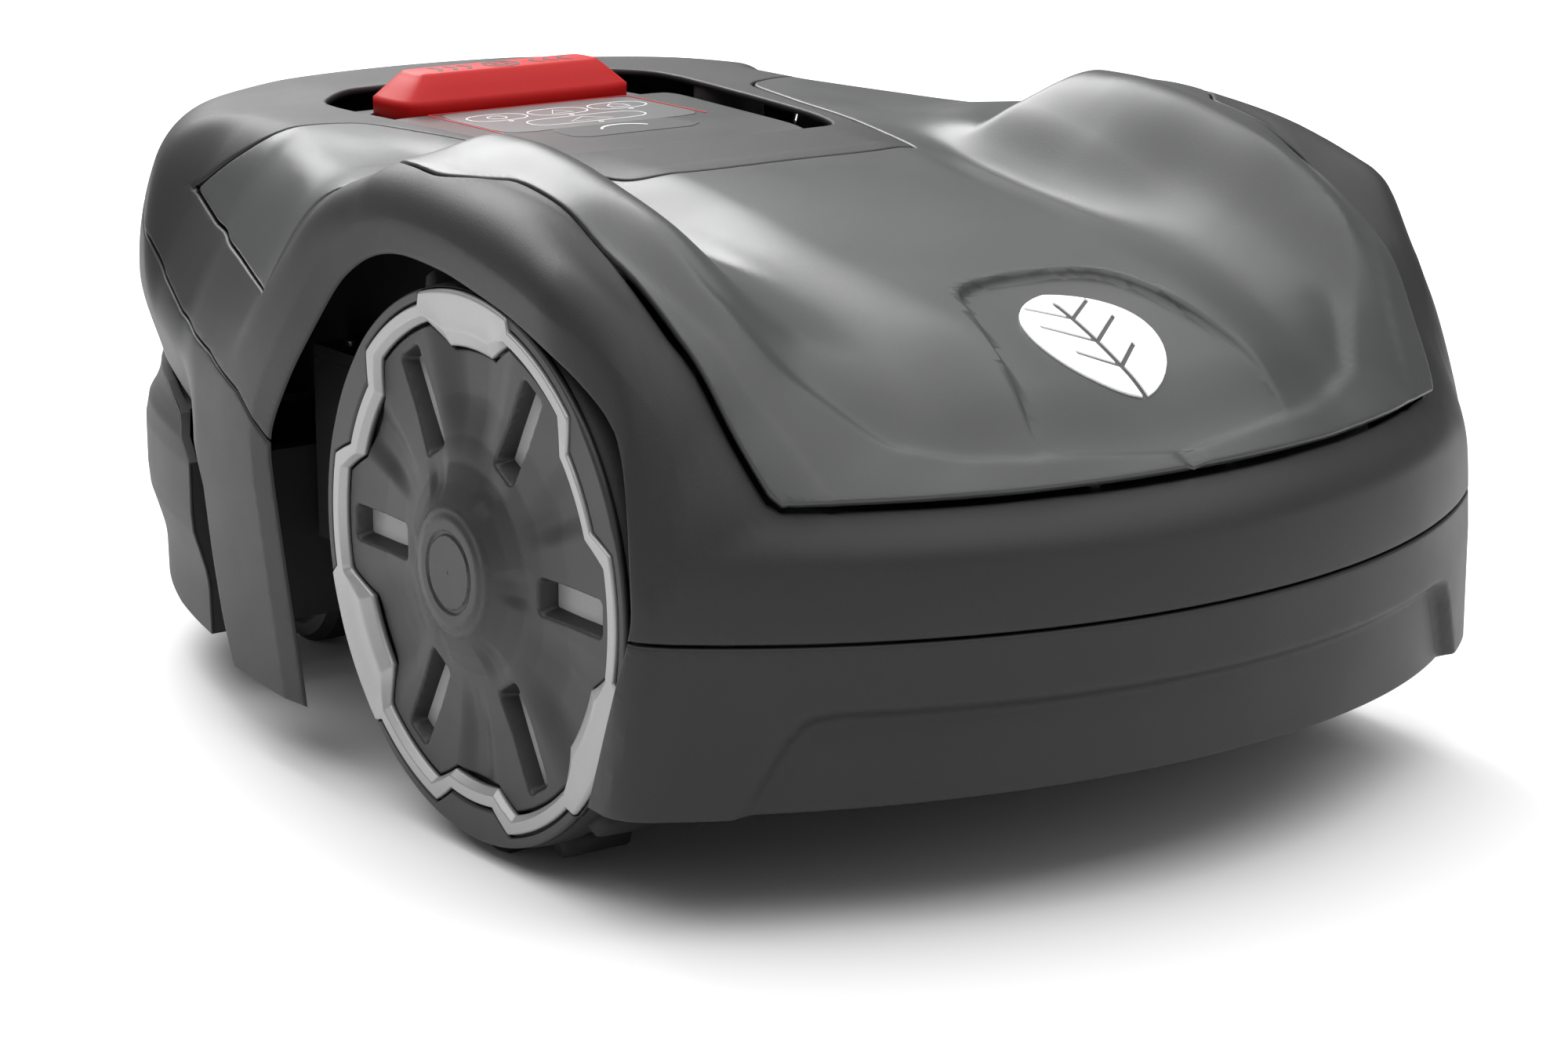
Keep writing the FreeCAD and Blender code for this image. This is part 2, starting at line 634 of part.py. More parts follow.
    screws = []
    for x, y in all_screw_spots():
        shank = rod(1.5, V(x, y, TUB_TOP - 12), V(x, y, COVER_REAR_TOP))
        screws.append(join([shank, rod(3.2, V(x, y, COVER_REAR_TOP), V(x, y, COVER_REAR_TOP + 2))]))
    save("chassis_screws", screws)
    hatch_screws = []
    for x, y in HATCH_SCREWS:
        shank = rod(1.4, V(x, y, HATCH_FACE + HEAD_DEPTH), V(x, y, TUB_BOTTOM + 2))
        head = rod(2.4, V(x, y, HATCH_FACE + 0.1), V(x, y, HATCH_FACE + HEAD_DEPTH))
        hatch_screws.append(join([shank, head]))
    save("hatch_screws", hatch_screws)


def nose_loft(extra):
    """Solid inside the front moulding's wall, with the wall moved inwards by extra."""
    return Part.makeLoft([flat_wire(plan_inset(inset + extra), z) for z, inset in NOSE_WALL], True, True)


def make_nose():
    """Front chassis moulding that carries both castors and the charging contacts."""
    outer = nose_loft(0).common(side_prism(NOSE_TOP + NOSE_BOTTOM, -250, 250))
    raised = [(y, z + WALL * 1.35) for y, z in NOSE_BOTTOM[:-1]] + [(NOSE_BACK_Y - WALL,
                                                            NOSE_BOTTOM[-1][1] + WALL)]
    room = nose_loft(NOSE_SKIN)
    room = room.common(side_prism([(NOSE_BACK_Y - WALL, 200), (-300, 200)] + raised, -250, 250))
    nose = outer.cut(room)
    ledge = prism(both_sides([(0, -112), (118, -112), (118, -200), (90, -236), (0, -250)]), NOSE_LEDGE - 3,
                  NOSE_LEDGE)
    ledge = ledge.cut(prism(both_sides([(0, -119), (103, -119), (103, -192), (80, -224), (0, -238)]), 0, 200))
    shelf = prism(plan_inset(8), NOSE_LEDGE - 3, NOSE_LEDGE).common(box(-250, 250, -300, -139, 0, 200))
    shelf = shelf.cut(prism(both_sides([(0, -119), (103, -119), (103, -192), (80, -224), (0, -238)]), 0, 200))
    shelf = shelf.common(outer.fuse(room))
    back_wall = prism(plan_inset(18), 104, 142).cut(prism(plan_inset(21), 100, 150))
    back_wall = back_wall.common(box(-250, 250, -300, -112, 100, 150))
    nose = nose.fuse(shelf).fuse(back_wall)
    for x in (-CASTOR_X, CASTOR_X):
        centre = V(x, CASTOR_Y, 0)
        wall = rod(CASTOR_WELL_RADIUS + 2.5, centre, centre + Z_AXIS * (CASTOR_WELL_TOP + 3))
        tube = rod(11, centre + Z_AXIS * CASTOR_WELL_TOP, centre + Z_AXIS * 106)
        nose = nose.fuse(wall.common(outer.fuse(room))).fuse(tube)
    for x in (-CASTOR_X, CASTOR_X):
        centre = V(x, CASTOR_Y, 0)
        nose = nose.cut(rod(CASTOR_WELL_RADIUS, centre, centre + Z_AXIS * CASTOR_WELL_TOP))
        nose = nose.cut(rod(CASTOR_BUSH_RADIUS, centre, centre + Z_AXIS * 120))
    for x in (-CONTACT_X, CONTACT_X):
        nose = nose.cut(box(x - 9, x + 9, -300, -270, 92, 108))
    save("front_chassis", nose.removeSplitter())


def make_castors():
    for name, side in (("left", 1), ("right", -1)):
        x = side * CASTOR_X
        top = CASTOR_WELL_TOP - 1.2
        bush = ring(CASTOR_BUSH_RADIUS, CASTOR_STEM_RADIUS + RUNNING_CLEARANCE,
                    V(x, CASTOR_Y, CASTOR_WELL_TOP),
                    V(x, CASTOR_Y, 106))
        save("castor_bush_" + name, bush)
        stem = rod(CASTOR_STEM_RADIUS, V(x, CASTOR_Y, top - 1), V(x, CASTOR_Y, 106.5))
        head = rod(14, V(x, CASTOR_Y, top - 4), V(x, CASTOR_Y, top))
        half = CASTOR_WIDTH / 2 + 1.2
        axle_y = CASTOR_Y + CASTOR_TRAIL
        fork = [stem, head, box(x - half - 2.5, x + half + 2.5, CASTOR_Y - 8, axle_y + 8, top - 4, top)]
        for inner, outer in ((-half - 2.5, -half), (half, half + 2.5)):
            leg = side_prism([(CASTOR_Y - 8, top - 2), (axle_y - 7, CASTOR_RADIUS),
                              (axle_y - 5, CASTOR_RADIUS - 6),
                              (axle_y + 5, CASTOR_RADIUS - 6), (axle_y + 7, CASTOR_RADIUS),
                              (axle_y + 8, top - 2)],
                             x + inner, x + outer)
            fork.append(leg)
        fork = join(fork)
        fork = fork.cut(rod(3.0, V(x - 30, axle_y, CASTOR_RADIUS), V(x + 30, axle_y, CASTOR_RADIUS)))
        save("castor_fork_" + name, fork)
        save("castor_axle_" + name, rod(3.0, V(x - half - 2.5, axle_y, CASTOR_RADIUS),
                                        V(x + half + 2.5, axle_y, CASTOR_RADIUS)))
        w = CASTOR_WIDTH / 2
        profile = [(3.0 + RUNNING_CLEARANCE, -w), (8, -w), (9, -w + 3), (22, -w + 3), (24, -w),
                   (CASTOR_RADIUS - 3, -w),
                   (CASTOR_RADIUS, -w + 4), (CASTOR_RADIUS, w - 4), (CASTOR_RADIUS - 3, w), (24, w),
                   (22, w - 3),
                   (9, w - 3), (8, w), (3.0 + RUNNING_CLEARANCE, w)]
        save("castor_wheel_" + name, turned(profile, V(x, axle_y, CASTOR_RADIUS), X_AXIS))
    contacts = []
    for x in (-CONTACT_X, CONTACT_X):
        contacts.append(box(x - 8.6, x + 8.6, -282.4, -276, 92.4, 107.6))
    save("charging_contacts", contacts)


def make_inside():
    x0, x1, y0, y1, z0, z1 = BATTERY
    pack = box(x0, x1, y0, y1, z0, z1)
    edges = [e for e in pack.Edges if abs(e.tangentAt(e.FirstParameter).z) > 0.9]
    pack = pack.makeFillet(6, edges)
    save("battery_pack", pack)
    board_top = BOARD_Z + 1.6
    board = box(-70, 70, -92, -50, BOARD_Z, board_top)
    chips = [box(-50, -30, -80, -60, board_top, board_top + 2.4),
             box(-10, 14, -84, -64, board_top, board_top + 2),
             box(34, 58, -78, -58, board_top, board_top + 8)]
    save("main_board", join([board] + chips))
    save("front_sensor_board", box(-34, 34, -225, -223, 118, 140))
    save("rear_sensor_board", box(-22, 22, 246, 248, 92, 122))
    for name, side in (("left", 1), ("right", -1)):
        inner = V(side * MOTOR_INNER_X, WHEEL_Y, WHEEL_Z)
        neck = V(side * 84, WHEEL_Y, WHEEL_Z)
        outer = V(side * 131, WHEEL_Y, WHEEL_Z)
        can = rod(MOTOR_CAN_RADIUS, inner, neck)
        gearbox = rod(MOTOR_RADIUS, neck, outer)
        motor = can.fuse(gearbox).removeSplitter()
        shaft_bore = rod(AXLE_RADIUS + RUNNING_CLEARANCE, V(side * 100, WHEEL_Y, WHEEL_Z),
                         V(side * 140, WHEEL_Y, WHEEL_Z))
        save("drive_motor_" + name, motor.cut(shaft_bore))


# ---- drive wheels -------------------------------------------------------------------------
def wheel_solid(profile):
    """Revolve (radius, x) points about the left wheel's axle."""
    return turned(profile, V(0, WHEEL_Y, WHEEL_Z), X_AXIS)


def make_wheels():
    axle = rod(AXLE_RADIUS, V(101, WHEEL_Y, WHEEL_Z), V(172, WHEEL_Y, WHEEL_Z))
    hub = [(AXLE_RADIUS, 143), (22, 143), (26, 150), (60, 156), (78, 150), (80, 143), (RIM_RADIUS, 143),
           (RIM_RADIUS, 180),
           (82, 180), (80, 164), (60, 164), (26, 168), (22, 172), (AXLE_RADIUS, 172)]
    rim = wheel_solid(hub)
    tyre = wheel_solid([(RIM_RADIUS, 144), (94, 141), (TYRE_RADIUS - 1, 143), (TYRE_RADIUS, 148),
                        (TYRE_RADIUS, 180),
                        (TYRE_RADIUS - 1.5, 184), (92, 185), (RIM_RADIUS + 2, 181), (RIM_RADIUS, 180)])
    lugs = []
    for k in range(LUG_COUNT):
        angle = 360.0 * k / LUG_COUNT
        lean = 8 if k % 2 else -8
        lug = box(146 + (6 if k % 2 else 0), 172 + (6 if k % 2 else 0), WHEEL_Y - 5, WHEEL_Y + 5,
                  WHEEL_Z + 90,
                  WHEEL_Z + WHEEL_LUG_RADIUS)
        lug.rotate(V(162, WHEEL_Y, WHEEL_Z + 90), Z_AXIS, lean)
        lug = lug.common(rod(WHEEL_LUG_RADIUS, V(100, WHEEL_Y, WHEEL_Z), V(200, WHEEL_Y, WHEEL_Z)))
        lug.rotate(V(0, WHEEL_Y, WHEEL_Z), X_AXIS, angle)
        lugs.append(lug)
    tyre = tyre.multiFuse(lugs)
    trim = wheel_solid([(74, 181.5), (76, 185.5), (80, 187), (88, 187), (91, 185.6), (91, 185.4),
                        (88, 181.5)])
    cap = wheel_solid([(10, 172.5), (30, 172.5), (34, 176), (72, 176), (73, 181), (88, 181), (88, 181.4),
                       (73.8, 181.4),
                       (70, 183), (56, 180), (40, 184), (26, 192), (16, 195), (10, 195)])
    for k in range(6):
        window = box(170, 200, WHEEL_Y - 6, WHEEL_Y + 6, WHEEL_Z + 42, WHEEL_Z + 66)
        window.rotate(V(0, WHEEL_Y, WHEEL_Z), X_AXIS, 60.0 * k + 30)
        cap = cap.cut(window)
    cap = cap.fuse(rod(14, V(172.5, WHEEL_Y, WHEEL_Z), V(195, WHEEL_Y, WHEEL_Z))).removeSplitter()
    for name, part in (("drive_axle", axle), ("wheel_rim", rim), ("tyre", tyre), ("wheel_trim_ring", trim),
                       ("wheel_cap", cap)):
        save(name + "_left", part)
        save(name + "_right", mirrored(part))


# ---- cutting system -----------------------------------------------------------------------
def make_cutter():
    c = V(0, CUTTER_Y, 0)
    disc_z = BLADE_Z + 4
    carriage = rod(CARRIAGE_RADIUS, c + Z_AXIS * 36, c + Z_AXIS * 84).cut(rod(28.2, c + Z_AXIS * 39,
                                                            c + Z_AXIS * 90))
    carriage = carriage.cut(rod(6, c, c + Z_AXIS * 50))
    lip = ring(CARRIAGE_RADIUS, 28.2, c + Z_AXIS * 84, c + Z_AXIS * 88)
    ears = [box(x - 6, x + 6, CUTTER_Y - 47, CUTTER_Y - 30, 92, 96) for x in (-18, 18)]
    tower = [ring(CARRIAGE_RADIUS, 28.2, c + Z_AXIS * 88, c + Z_AXIS * 96)]
    carriage = join([carriage, lip] + tower + ears)
    for x in (-18, 18):
        carriage = carriage.cut(rod(2.55, V(x, CUTTER_Y - 43, 60), V(x, CUTTER_Y - 43, 120)))
    save("cutting_carriage", carriage)
    rods = [rod(2.5, V(x, CUTTER_Y - 43, TUB_BOTTOM + WALL), V(x, CUTTER_Y - 43, 132)) for x in (-18, 18)]
    save("guide_rods", rods)
    motor = rod(28, c + Z_AXIS * 39, c + Z_AXIS * 80).fuse(rod(12, c + Z_AXIS * 80,
                                                            c + Z_AXIS * 86)).removeSplitter()
    motor = motor.cut(rod(4.05, c, c + Z_AXIS * 60))
    save("cutting_motor", motor)
    disc = turned([(0, disc_z - 1.2), (DISC_RADIUS - 2, disc_z - 1.2), (DISC_RADIUS, disc_z),
                   (DISC_RADIUS, disc_z + 1.4),
                   (DISC_RADIUS - 2, disc_z + 1.4), (40, disc_z + 1.4), (24, disc_z + 5), (12, disc_z + 6),
                   (12, disc_z + 10),
                   (4, disc_z + 10), (4, 59), (0, 59)], c, Z_AXIS)
    screws = []
    for k in range(3):
        angle = math.radians(120 * k + 90)
        spot = c + V(math.cos(angle), math.sin(angle), 0) * BLADE_PIVOT
        disc = disc.cut(rod(1.9, spot, spot + Z_AXIS * 40))
        top = disc_z + 1.4
        shank = rod(1.9, spot + Z_AXIS * (disc_z - 3.5), spot + Z_AXIS * top)
        head = rod(4.2, spot + Z_AXIS * (disc_z - 5), spot + Z_AXIS * (disc_z - 3.5))
        nut = rod(3.6, spot + Z_AXIS * top, spot + Z_AXIS * (top + 2.4))
        screws.append(join([shank, head, nut]))
        blade = box(-9, 9, -5, 15, 0, 0.8)
        blade = blade.cut(rod(1.95, V(0, 0, -1), V(0, 0, 2)))
        blade.rotate(V(0, 0, 0), Z_AXIS, 120 * k)
        blade.translate(spot + Z_AXIS * (disc_z - 2.6))
        save("cutting_blade_%d" % (k + 1), blade)
    save("cutting_disc", disc)
    save("blade_screws", screws)
    skid = turned([(3, 0), (34, 0), (42, 1.2), (44, 2.6), (36, 2.6), (3, 2.0)], c + Z_AXIS * (disc_z - 9.2),
                  Z_AXIS)
    skid = skid.cut(rod(3.05, c, c + Z_AXIS * 60))
    save("skid_plate", skid)
    hub = rod(3.0, c + Z_AXIS * (disc_z - 9.8), c + Z_AXIS * (disc_z - 1.2))
    hub = hub.fuse(rod(6.5, c + Z_AXIS * (disc_z - 11.2), c + Z_AXIS * (disc_z - 9.8))).removeSplitter()
    save("skid_bolt", hub)
    knob = turned([(0, 0), (17, 0), (19, 2), (19, 9), (0, 9)], V(0, KNOB_Y, TUB_BOTTOM - 10), Z_AXIS)
    for k in range(12):
        notch = rod(2.4, V(20, 0, -2), V(20, 0, 6))
        notch.rotate(V(0, 0, 0), Z_AXIS, 30 * k)
        knob = knob.cut(notch.translated(V(0, KNOB_Y, TUB_BOTTOM - 10)))
    knob = knob.fuse(rod(KNOB_STEM, V(0, KNOB_Y, TUB_BOTTOM - 2), V(0, KNOB_Y, TUB_BOTTOM + 22)))
    save("height_knob", knob.removeSplitter())


# ---- console ------------------------------------------------------------------------------
DECK_TOP = 217.0
DECK_HALF = [(0, -25), (55, -25), (61, -44), (71, -148), (0, -148)]
STOP_HALF = [(0, -151), (50, -151), (56, -157), (56, -180), (50, -186), (0, -186)]


def make_console():
    pedestal_half = [(0, -27), (53, -27), (59, -46), (68, -150), (64, -192), (0, -192)]
    pedestal = prism(both_sides(pedestal_half), COVER_FRONT_TOP, DECK_TOP - 3)
    pedestal = pedestal.cut(prism(both_sides([(0, -30), (50, -30), (56, -48), (64, -150), (60, -188),
                                              (0, -188)]),
                                  COVER_FRONT_TOP - 1, DECK_TOP - 6))
    stop_well = prism(grown(both_sides(STOP_HALF), 0.7), DECK_TOP - 20, DECK_TOP)
    guide = prism(grown(both_sides(STOP_HALF), 2.2), COVER_FRONT_TOP, DECK_TOP - 3).cut(
        prism(grown(both_sides(STOP_HALF), 0.7), DECK_TOP - 40, DECK_TOP + 1))
    pedestal = pedestal.cut(stop_well).fuse(guide).removeSplitter()
    save("console_housing", pedestal)
    deck = prism(both_sides(DECK_HALF), DECK_TOP - 3, DECK_TOP)
    deck = deck.cut(box(-47, 47, -146, -86, DECK_TOP - 0.8, DECK_TOP + 1))
    save("console_deck", deck)
    save("keypad_overlay", box(-46.8, 46.8, -145.8, -86.2, DECK_TOP - 0.8, DECK_TOP - 0.2))
    top = 232.0
    base = prism(both_sides(STOP_HALF), DECK_TOP - 8, top)
    slope = side_prism([(-151, 222), (-158, top), (-179, top), (-186, 222), (-186, 200), (-151, 200)], -80,
                       80)
    ends = Part.Face(Part.makePolygon([V(-57, 0, 200), V(57, 0, 200), V(57, 0, 221), V(44, 0, top),
                                       V(-44, 0, top),
                                       V(-57, 0, 221), V(-57, 0, 200)])).extrude(V(0, -260, 0))
    button = base.common(slope).common(ends)
    plunger = rod(5, V(0, STOP_Y, DECK_TOP - 14), V(0, STOP_Y, DECK_TOP - 8))
    save("stop_button", button.fuse(plunger).removeSplitter())
    spring = ring(9, 7, V(0, STOP_Y, COVER_FRONT_TOP + 1), V(0, STOP_Y, DECK_TOP - 8.2))
    save("stop_spring", spring)
    switch = box(-4.5, 4.5, STOP_Y - 4.5, STOP_Y + 4.5, COVER_FRONT_TOP, DECK_TOP - 14 - STOP_TRAVEL - 0.4)
    save("stop_switch", switch)


make_shell()
make_float_mounts()
make_badge()
make_chassis()
make_nose()
make_castors()
make_inside()
make_wheels()
make_cutter()
make_console()
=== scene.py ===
import json
import math

import bpy
import bmesh
import numpy as np
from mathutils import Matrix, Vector


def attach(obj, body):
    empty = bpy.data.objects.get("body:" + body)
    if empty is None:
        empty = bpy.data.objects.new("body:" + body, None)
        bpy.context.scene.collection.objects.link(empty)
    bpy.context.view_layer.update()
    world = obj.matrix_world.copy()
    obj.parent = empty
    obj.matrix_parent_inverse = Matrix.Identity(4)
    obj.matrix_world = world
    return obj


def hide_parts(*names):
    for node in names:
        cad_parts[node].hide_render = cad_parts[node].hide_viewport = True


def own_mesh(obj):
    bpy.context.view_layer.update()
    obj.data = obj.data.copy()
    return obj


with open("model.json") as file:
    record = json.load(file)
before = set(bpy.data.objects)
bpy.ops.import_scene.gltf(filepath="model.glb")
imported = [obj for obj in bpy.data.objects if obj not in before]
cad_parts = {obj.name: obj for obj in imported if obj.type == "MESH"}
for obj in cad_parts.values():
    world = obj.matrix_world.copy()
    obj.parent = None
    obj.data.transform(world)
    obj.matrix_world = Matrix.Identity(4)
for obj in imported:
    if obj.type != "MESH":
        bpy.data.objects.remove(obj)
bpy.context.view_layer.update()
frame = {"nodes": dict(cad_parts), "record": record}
MM = 0.001


# ---- smooth lines and blends --------------------------------------------------------------
class Line:
    """Monotone cubic line through (position, value) points, held constant past its ends."""

    def __init__(self, points):
        self.at = np.array([p[0] for p in points], float)
        self.value = np.array([p[1] for p in points], float)
        self.slope = monotone_slopes(self.at, self.value[:, None])[:, 0]

    def __call__(self, t):
        t = np.clip(t, self.at[0], self.at[-1])
        k = np.clip(np.searchsorted(self.at, t) - 1, 0, len(self.at) - 2)
        return hermite(self.at, self.value[:, None], self.slope[:, None], k, t, np.zeros_like(k))


def monotone_slopes(at, value):
    width = np.diff(at)[:, None]
    rise = np.diff(value, axis=0) / width
    slope = np.zeros_like(value)
    slope[0] = rise[0]
    slope[-1] = rise[-1]
    before = rise[:-1]
    after = rise[1:]
    # Weighted harmonic mean of the slopes on both sides, zero at a turning point.
    w1 = 2 * width[1:] + width[:-1]
    w2 = width[1:] + 2 * width[:-1]
    same = before * after > 0
    safe_before = np.where(same, before, 1.0)
    safe_after = np.where(same, after, 1.0)
    slope[1:-1] = np.where(same, (w1 + w2) / (w1 / safe_before + w2 / safe_after), 0.0)
    return slope


def hermite(at, value, slope, k, t, column):
    width = at[k + 1] - at[k]
    s = (t - at[k]) / width
    a = value[k, column]
    b = value[k + 1, column]
    ma = slope[k, column] * width
    mb = slope[k + 1, column] * width
    start = (2 * s**3 - 3 * s**2 + 1) * a + (s**3 - 2 * s**2 + s) * ma
    return start + (3 * s**2 - 2 * s**3) * b + (s**3 - s**2) * mb


def smooth_max(a, b, blend):
    overlap = np.maximum(blend - np.abs(a - b), 0.0) / blend
    return np.maximum(a, b) + overlap * overlap * blend / 4


def smooth_min(a, b, blend):
    return -smooth_max(-a, -b, blend)


def ramp(low, high, value):
    t = np.clip((value - low) / (high - low), 0.0, 1.0)
    return t * t * (3 - 2 * t)


# ---- the body's surface, in millimetres ---------------------------------------------------
HALF_LENGTH = 285.0
TUCK = 10.0
HALF_WIDTH = 192.5
REAR_RADIUS = 285.0
FRONT_RADIUS = 260.0
FLANK_RADIUS = 560.0
REAR_SEAM_Z = 102.0
HOOD_LIP_Z = 147.0
SKIRT_BOTTOM = 26.0

# Long lines of the top surface, each at one distance from the centre line: (y, height).
TOP_LINES = [
    (0.0, [(-290, 222), (-240, 228), (-200, 230), (-150, 227), (-100, 223), (-40, 221), (36, 219),
           (83, 214), (130, 205), (175, 197), (205, 188), (235, 172), (258, 154), (275, 147), (292, 145)]),
    (50.0, [(-290, 221), (-240, 227), (-200, 229), (-150, 226), (-100, 223), (-40, 221), (36, 218.5),
            (83, 212.5), (130, 204), (175, 197), (205, 190), (235, 175), (256, 157), (270, 148), (292, 145)]),
    (85.0, [(-290, 217), (-240, 223), (-200, 226), (-150, 225), (-100, 224), (-48, 222), (0, 217),
            (36, 212), (83, 205), (126, 200), (175, 193), (205, 184), (232, 168), (250, 153), (263, 148),
            (292, 144)]),
    (110.0, [(-290, 216), (-240, 222), (-200, 226), (-150, 226), (-100, 223.5), (-48, 219), (-20, 220),
             (10, 226), (36, 231), (83, 224), (126, 211), (160, 203), (190, 193), (215, 178), (237, 158),
             (256, 148), (292, 142)]),
    (138.0, [(-290, 212), (-240, 218), (-200, 222), (-150, 222), (-100, 221), (-48, 219), (-22, 224),
             (0, 232), (22, 240), (45, 243), (70, 243), (95, 240.5), (123, 235), (156, 226), (185, 210),
             (205, 190), (222, 168), (243, 148), (292, 138)]),
    (158.0, [(-290, 209), (-200, 218), (-100, 221), (-40, 218), (0, 229), (25, 236), (60, 239), (98, 235),
             (125, 230), (152, 218), (170, 209), (187, 199), (206, 184), (215, 172), (225, 160), (237, 149),
             (292, 130)]),
    (190.0, [(-290, 203), (-100, 217), (-40, 214), (0, 222), (30, 231), (60, 233), (90, 231), (119, 227),
             (167, 217), (190, 200), (200, 180), (208, 148), (216, 120), (292, 100)]),
]
SCOOP_CREASE = Line([(-230, 175), (-190, 150), (-157, 131), (-126, 132), (-103, 139), (-47, 157), (-10, 174),
                     (30, 192)])
SCOOP_TOP = 222.0
SCOOP_SLOPE = 1.6
ARCH_SLOPE = Line([(-90, 120), (-60, 160), (-47, 174), (-15, 203), (-1, 216), (17, 226), (40, 232),
                   (70, 233)])
ARCH_EDGE = Line([(-90, 194), (-47, 186), (-15, 178), (10, 169), (30, 163)])
ARCH_SIDE_SLOPE = 2.5
TOP_STATIONS = np.array([-TOP_LINES[1][0]] + [x for x, _ in TOP_LINES])
TOP_CURVES = [Line(TOP_LINES[1][1])] + [Line(points) for _, points in TOP_LINES]


def top_height(x, y):
    """Height of the body's top surface over a plan point."""
    x = np.abs(x)
    samples = np.stack([curve(y) for curve in TOP_CURVES])
    slopes = monotone_slopes(TOP_STATIONS, samples)
    inside = np.clip(x, 0, TOP_STATIONS[-1])
    k = np.clip(np.searchsorted(TOP_STATIONS, inside) - 1, 0, len(TOP_STATIONS) - 2)
    base = hermite(TOP_STATIONS, samples, slopes, k, inside, np.arange(len(x)))
    scoop = SCOOP_TOP - SCOOP_SLOPE * smooth_max(x - SCOOP_CREASE(y), 0.0, 14)
    top = smooth_min(base, scoop + 30 * ramp(20, 60, y), 6)
    arch = ARCH_SLOPE(y) - ARCH_SIDE_SLOPE * smooth_max(ARCH_EDGE(y) - x, 0.0, 6)
    return smooth_max(top, smooth_min(arch, base, 6), 5)


def plan_distance(x, y):
    """Signed distance outside the body's plan outline."""
    x = np.abs(x)
    rear = np.hypot(x, y - (HALF_LENGTH - REAR_RADIUS)) - REAR_RADIUS
    nose = np.hypot(x, y + (HALF_LENGTH - FRONT_RADIUS)) - FRONT_RADIUS
    curved = np.hypot(x - (HALF_WIDTH - FLANK_RADIUS), y) - FLANK_RADIUS
    flank = np.where(y < 0, curved, x - HALF_WIDTH)
    return np.where(y > 0, smooth_max(rear, flank, 8), smooth_max(nose, flank, 40))


def wall_inset(y, z):
    """How far the wall leans in at a height."""
    front = 0.0042 * np.maximum(z - 158, 0.0)**2
    middle = 0.00033 * np.maximum(z - REAR_SEAM_Z, 0.0)**2
    rear = 0.003 * np.maximum(z - REAR_SEAM_Z, 0.0)**2
    w_front = 1 - ramp(-70, -20, y)
    w_rear = ramp(160, 215, y)
    tuck = TUCK * (1 - ramp(112, 158, z)) * (1 - ramp(-135, -95, y))
    return front * w_front + rear * w_rear + middle * (1 - w_front - w_rear) + tuck


def body_value(p):
    """Negative inside the body, positive outside."""
    wall = plan_distance(p[:, 0], p[:, 1]) + wall_inset(p[:, 1], p[:, 2])
    roof = 0.9 * (p[:, 2] - top_height(p[:, 0], p[:, 1]))
    return smooth_max(wall, roof, 18)


def farthest(shape, limit, steps, inside):
    """Largest distance below the limit at which inside(distance) still holds, found by halving."""
    low = np.zeros(shape)
    high = np.full(shape, float(limit))
    for _ in range(steps):
        middle = (low + high) / 2
        holds = inside(middle)
        low = np.where(holds, middle, low)
        high = np.where(holds, high, middle)
    return low


def crossings(origin, direction, limit):
    """Where rays that start inside the body leave it."""
    reach = farthest(len(origin), limit, 20, lambda far: body_value(origin + direction * far[:, None]) < 0)
    return origin + direction * reach[:, None]


def surface_normals(points, value):
    """Outward unit normals of a signed distance function."""
    normal = np.zeros_like(points)
    for axis in range(3):
        shift = np.zeros(3)
        shift[axis] = NORMAL_STEP
        normal[:, axis] = value(points + shift) - value(points - shift)
    return normal / np.linalg.norm(normal, axis=1, keepdims=True)


NORMAL_STEP = 0.4
PLAN_REACH = 400.0
CROWN_Y = -60.0
CROWN_RING = 12.0
GUIDE_INSET = 40.0
GUIDE_DROP = 55.0
FINE = 1.0
AROUND = int(480 * FINE)
ALONG_TOP = int(100 * FINE)
ALONG_BEND = int(38 * FINE)
ALONG_WALL = int(38 * FINE)


def body_grid():
    """Closed grid of surface points: rows around the crown, columns from the crown to the skirt."""
    angle = 2 * math.pi * np.arange(AROUND) / AROUND - math.pi / 2
    out = np.stack([np.cos(angle), np.sin(angle), np.zeros(AROUND)], 1)
    reach = farthest(AROUND, PLAN_REACH, 30,
                     lambda far: plan_distance(out[:, 0] * far, CROWN_Y + out[:, 1] * far) < -GUIDE_INSET)
    origins = []
    directions = []
    up = np.tile([0.0, 0.0, 1.0], (AROUND, 1))
    centre = np.array([0.0, CROWN_Y, 0.0])
    for k in range(ALONG_TOP):
        r = CROWN_RING + (reach - CROWN_RING) * k / ALONG_TOP
        origins.append(centre + out * r[:, None] + [0, 0, 100.0])
        directions.append(up)
    edge = centre + out * reach[:, None]
    pivot = edge.copy()
    pivot[:, 2] = top_height(edge[:, 0], edge[:, 1]) - GUIDE_DROP
    for k in range(ALONG_BEND):
        tilt = math.pi / 2 * (1 - k / ALONG_BEND)
        origins.append(pivot)
        directions.append(out * math.cos(tilt) + up * math.sin(tilt))
    for k in range(ALONG_WALL + 1):
        start = edge.copy()
        start[:, 2] = pivot[:, 2] + (SKIRT_BOTTOM - pivot[:, 2]) * k / ALONG_WALL
        origins.append(start)
        directions.append(out)
    origins = np.stack(origins, 1).reshape(-1, 3)
    directions = np.stack(directions, 1).reshape(-1, 3)
    points = crossings(origins, directions, 160)
    columns = ALONG_TOP + ALONG_BEND + ALONG_WALL + 1
    return points.reshape(AROUND, columns, 3)


def grid_triangles(rows, columns):
    i, j = np.meshgrid(np.arange(rows), np.arange(columns - 1), indexing="ij")
    a = i * columns + j
    b = ((i + 1) % rows) * columns + j
    first = np.stack([a, a + 1, b + 1], -1).reshape(-1, 3)
    second = np.stack([a, b + 1, b], -1).reshape(-1, 3)
    return np.concatenate([first, second])


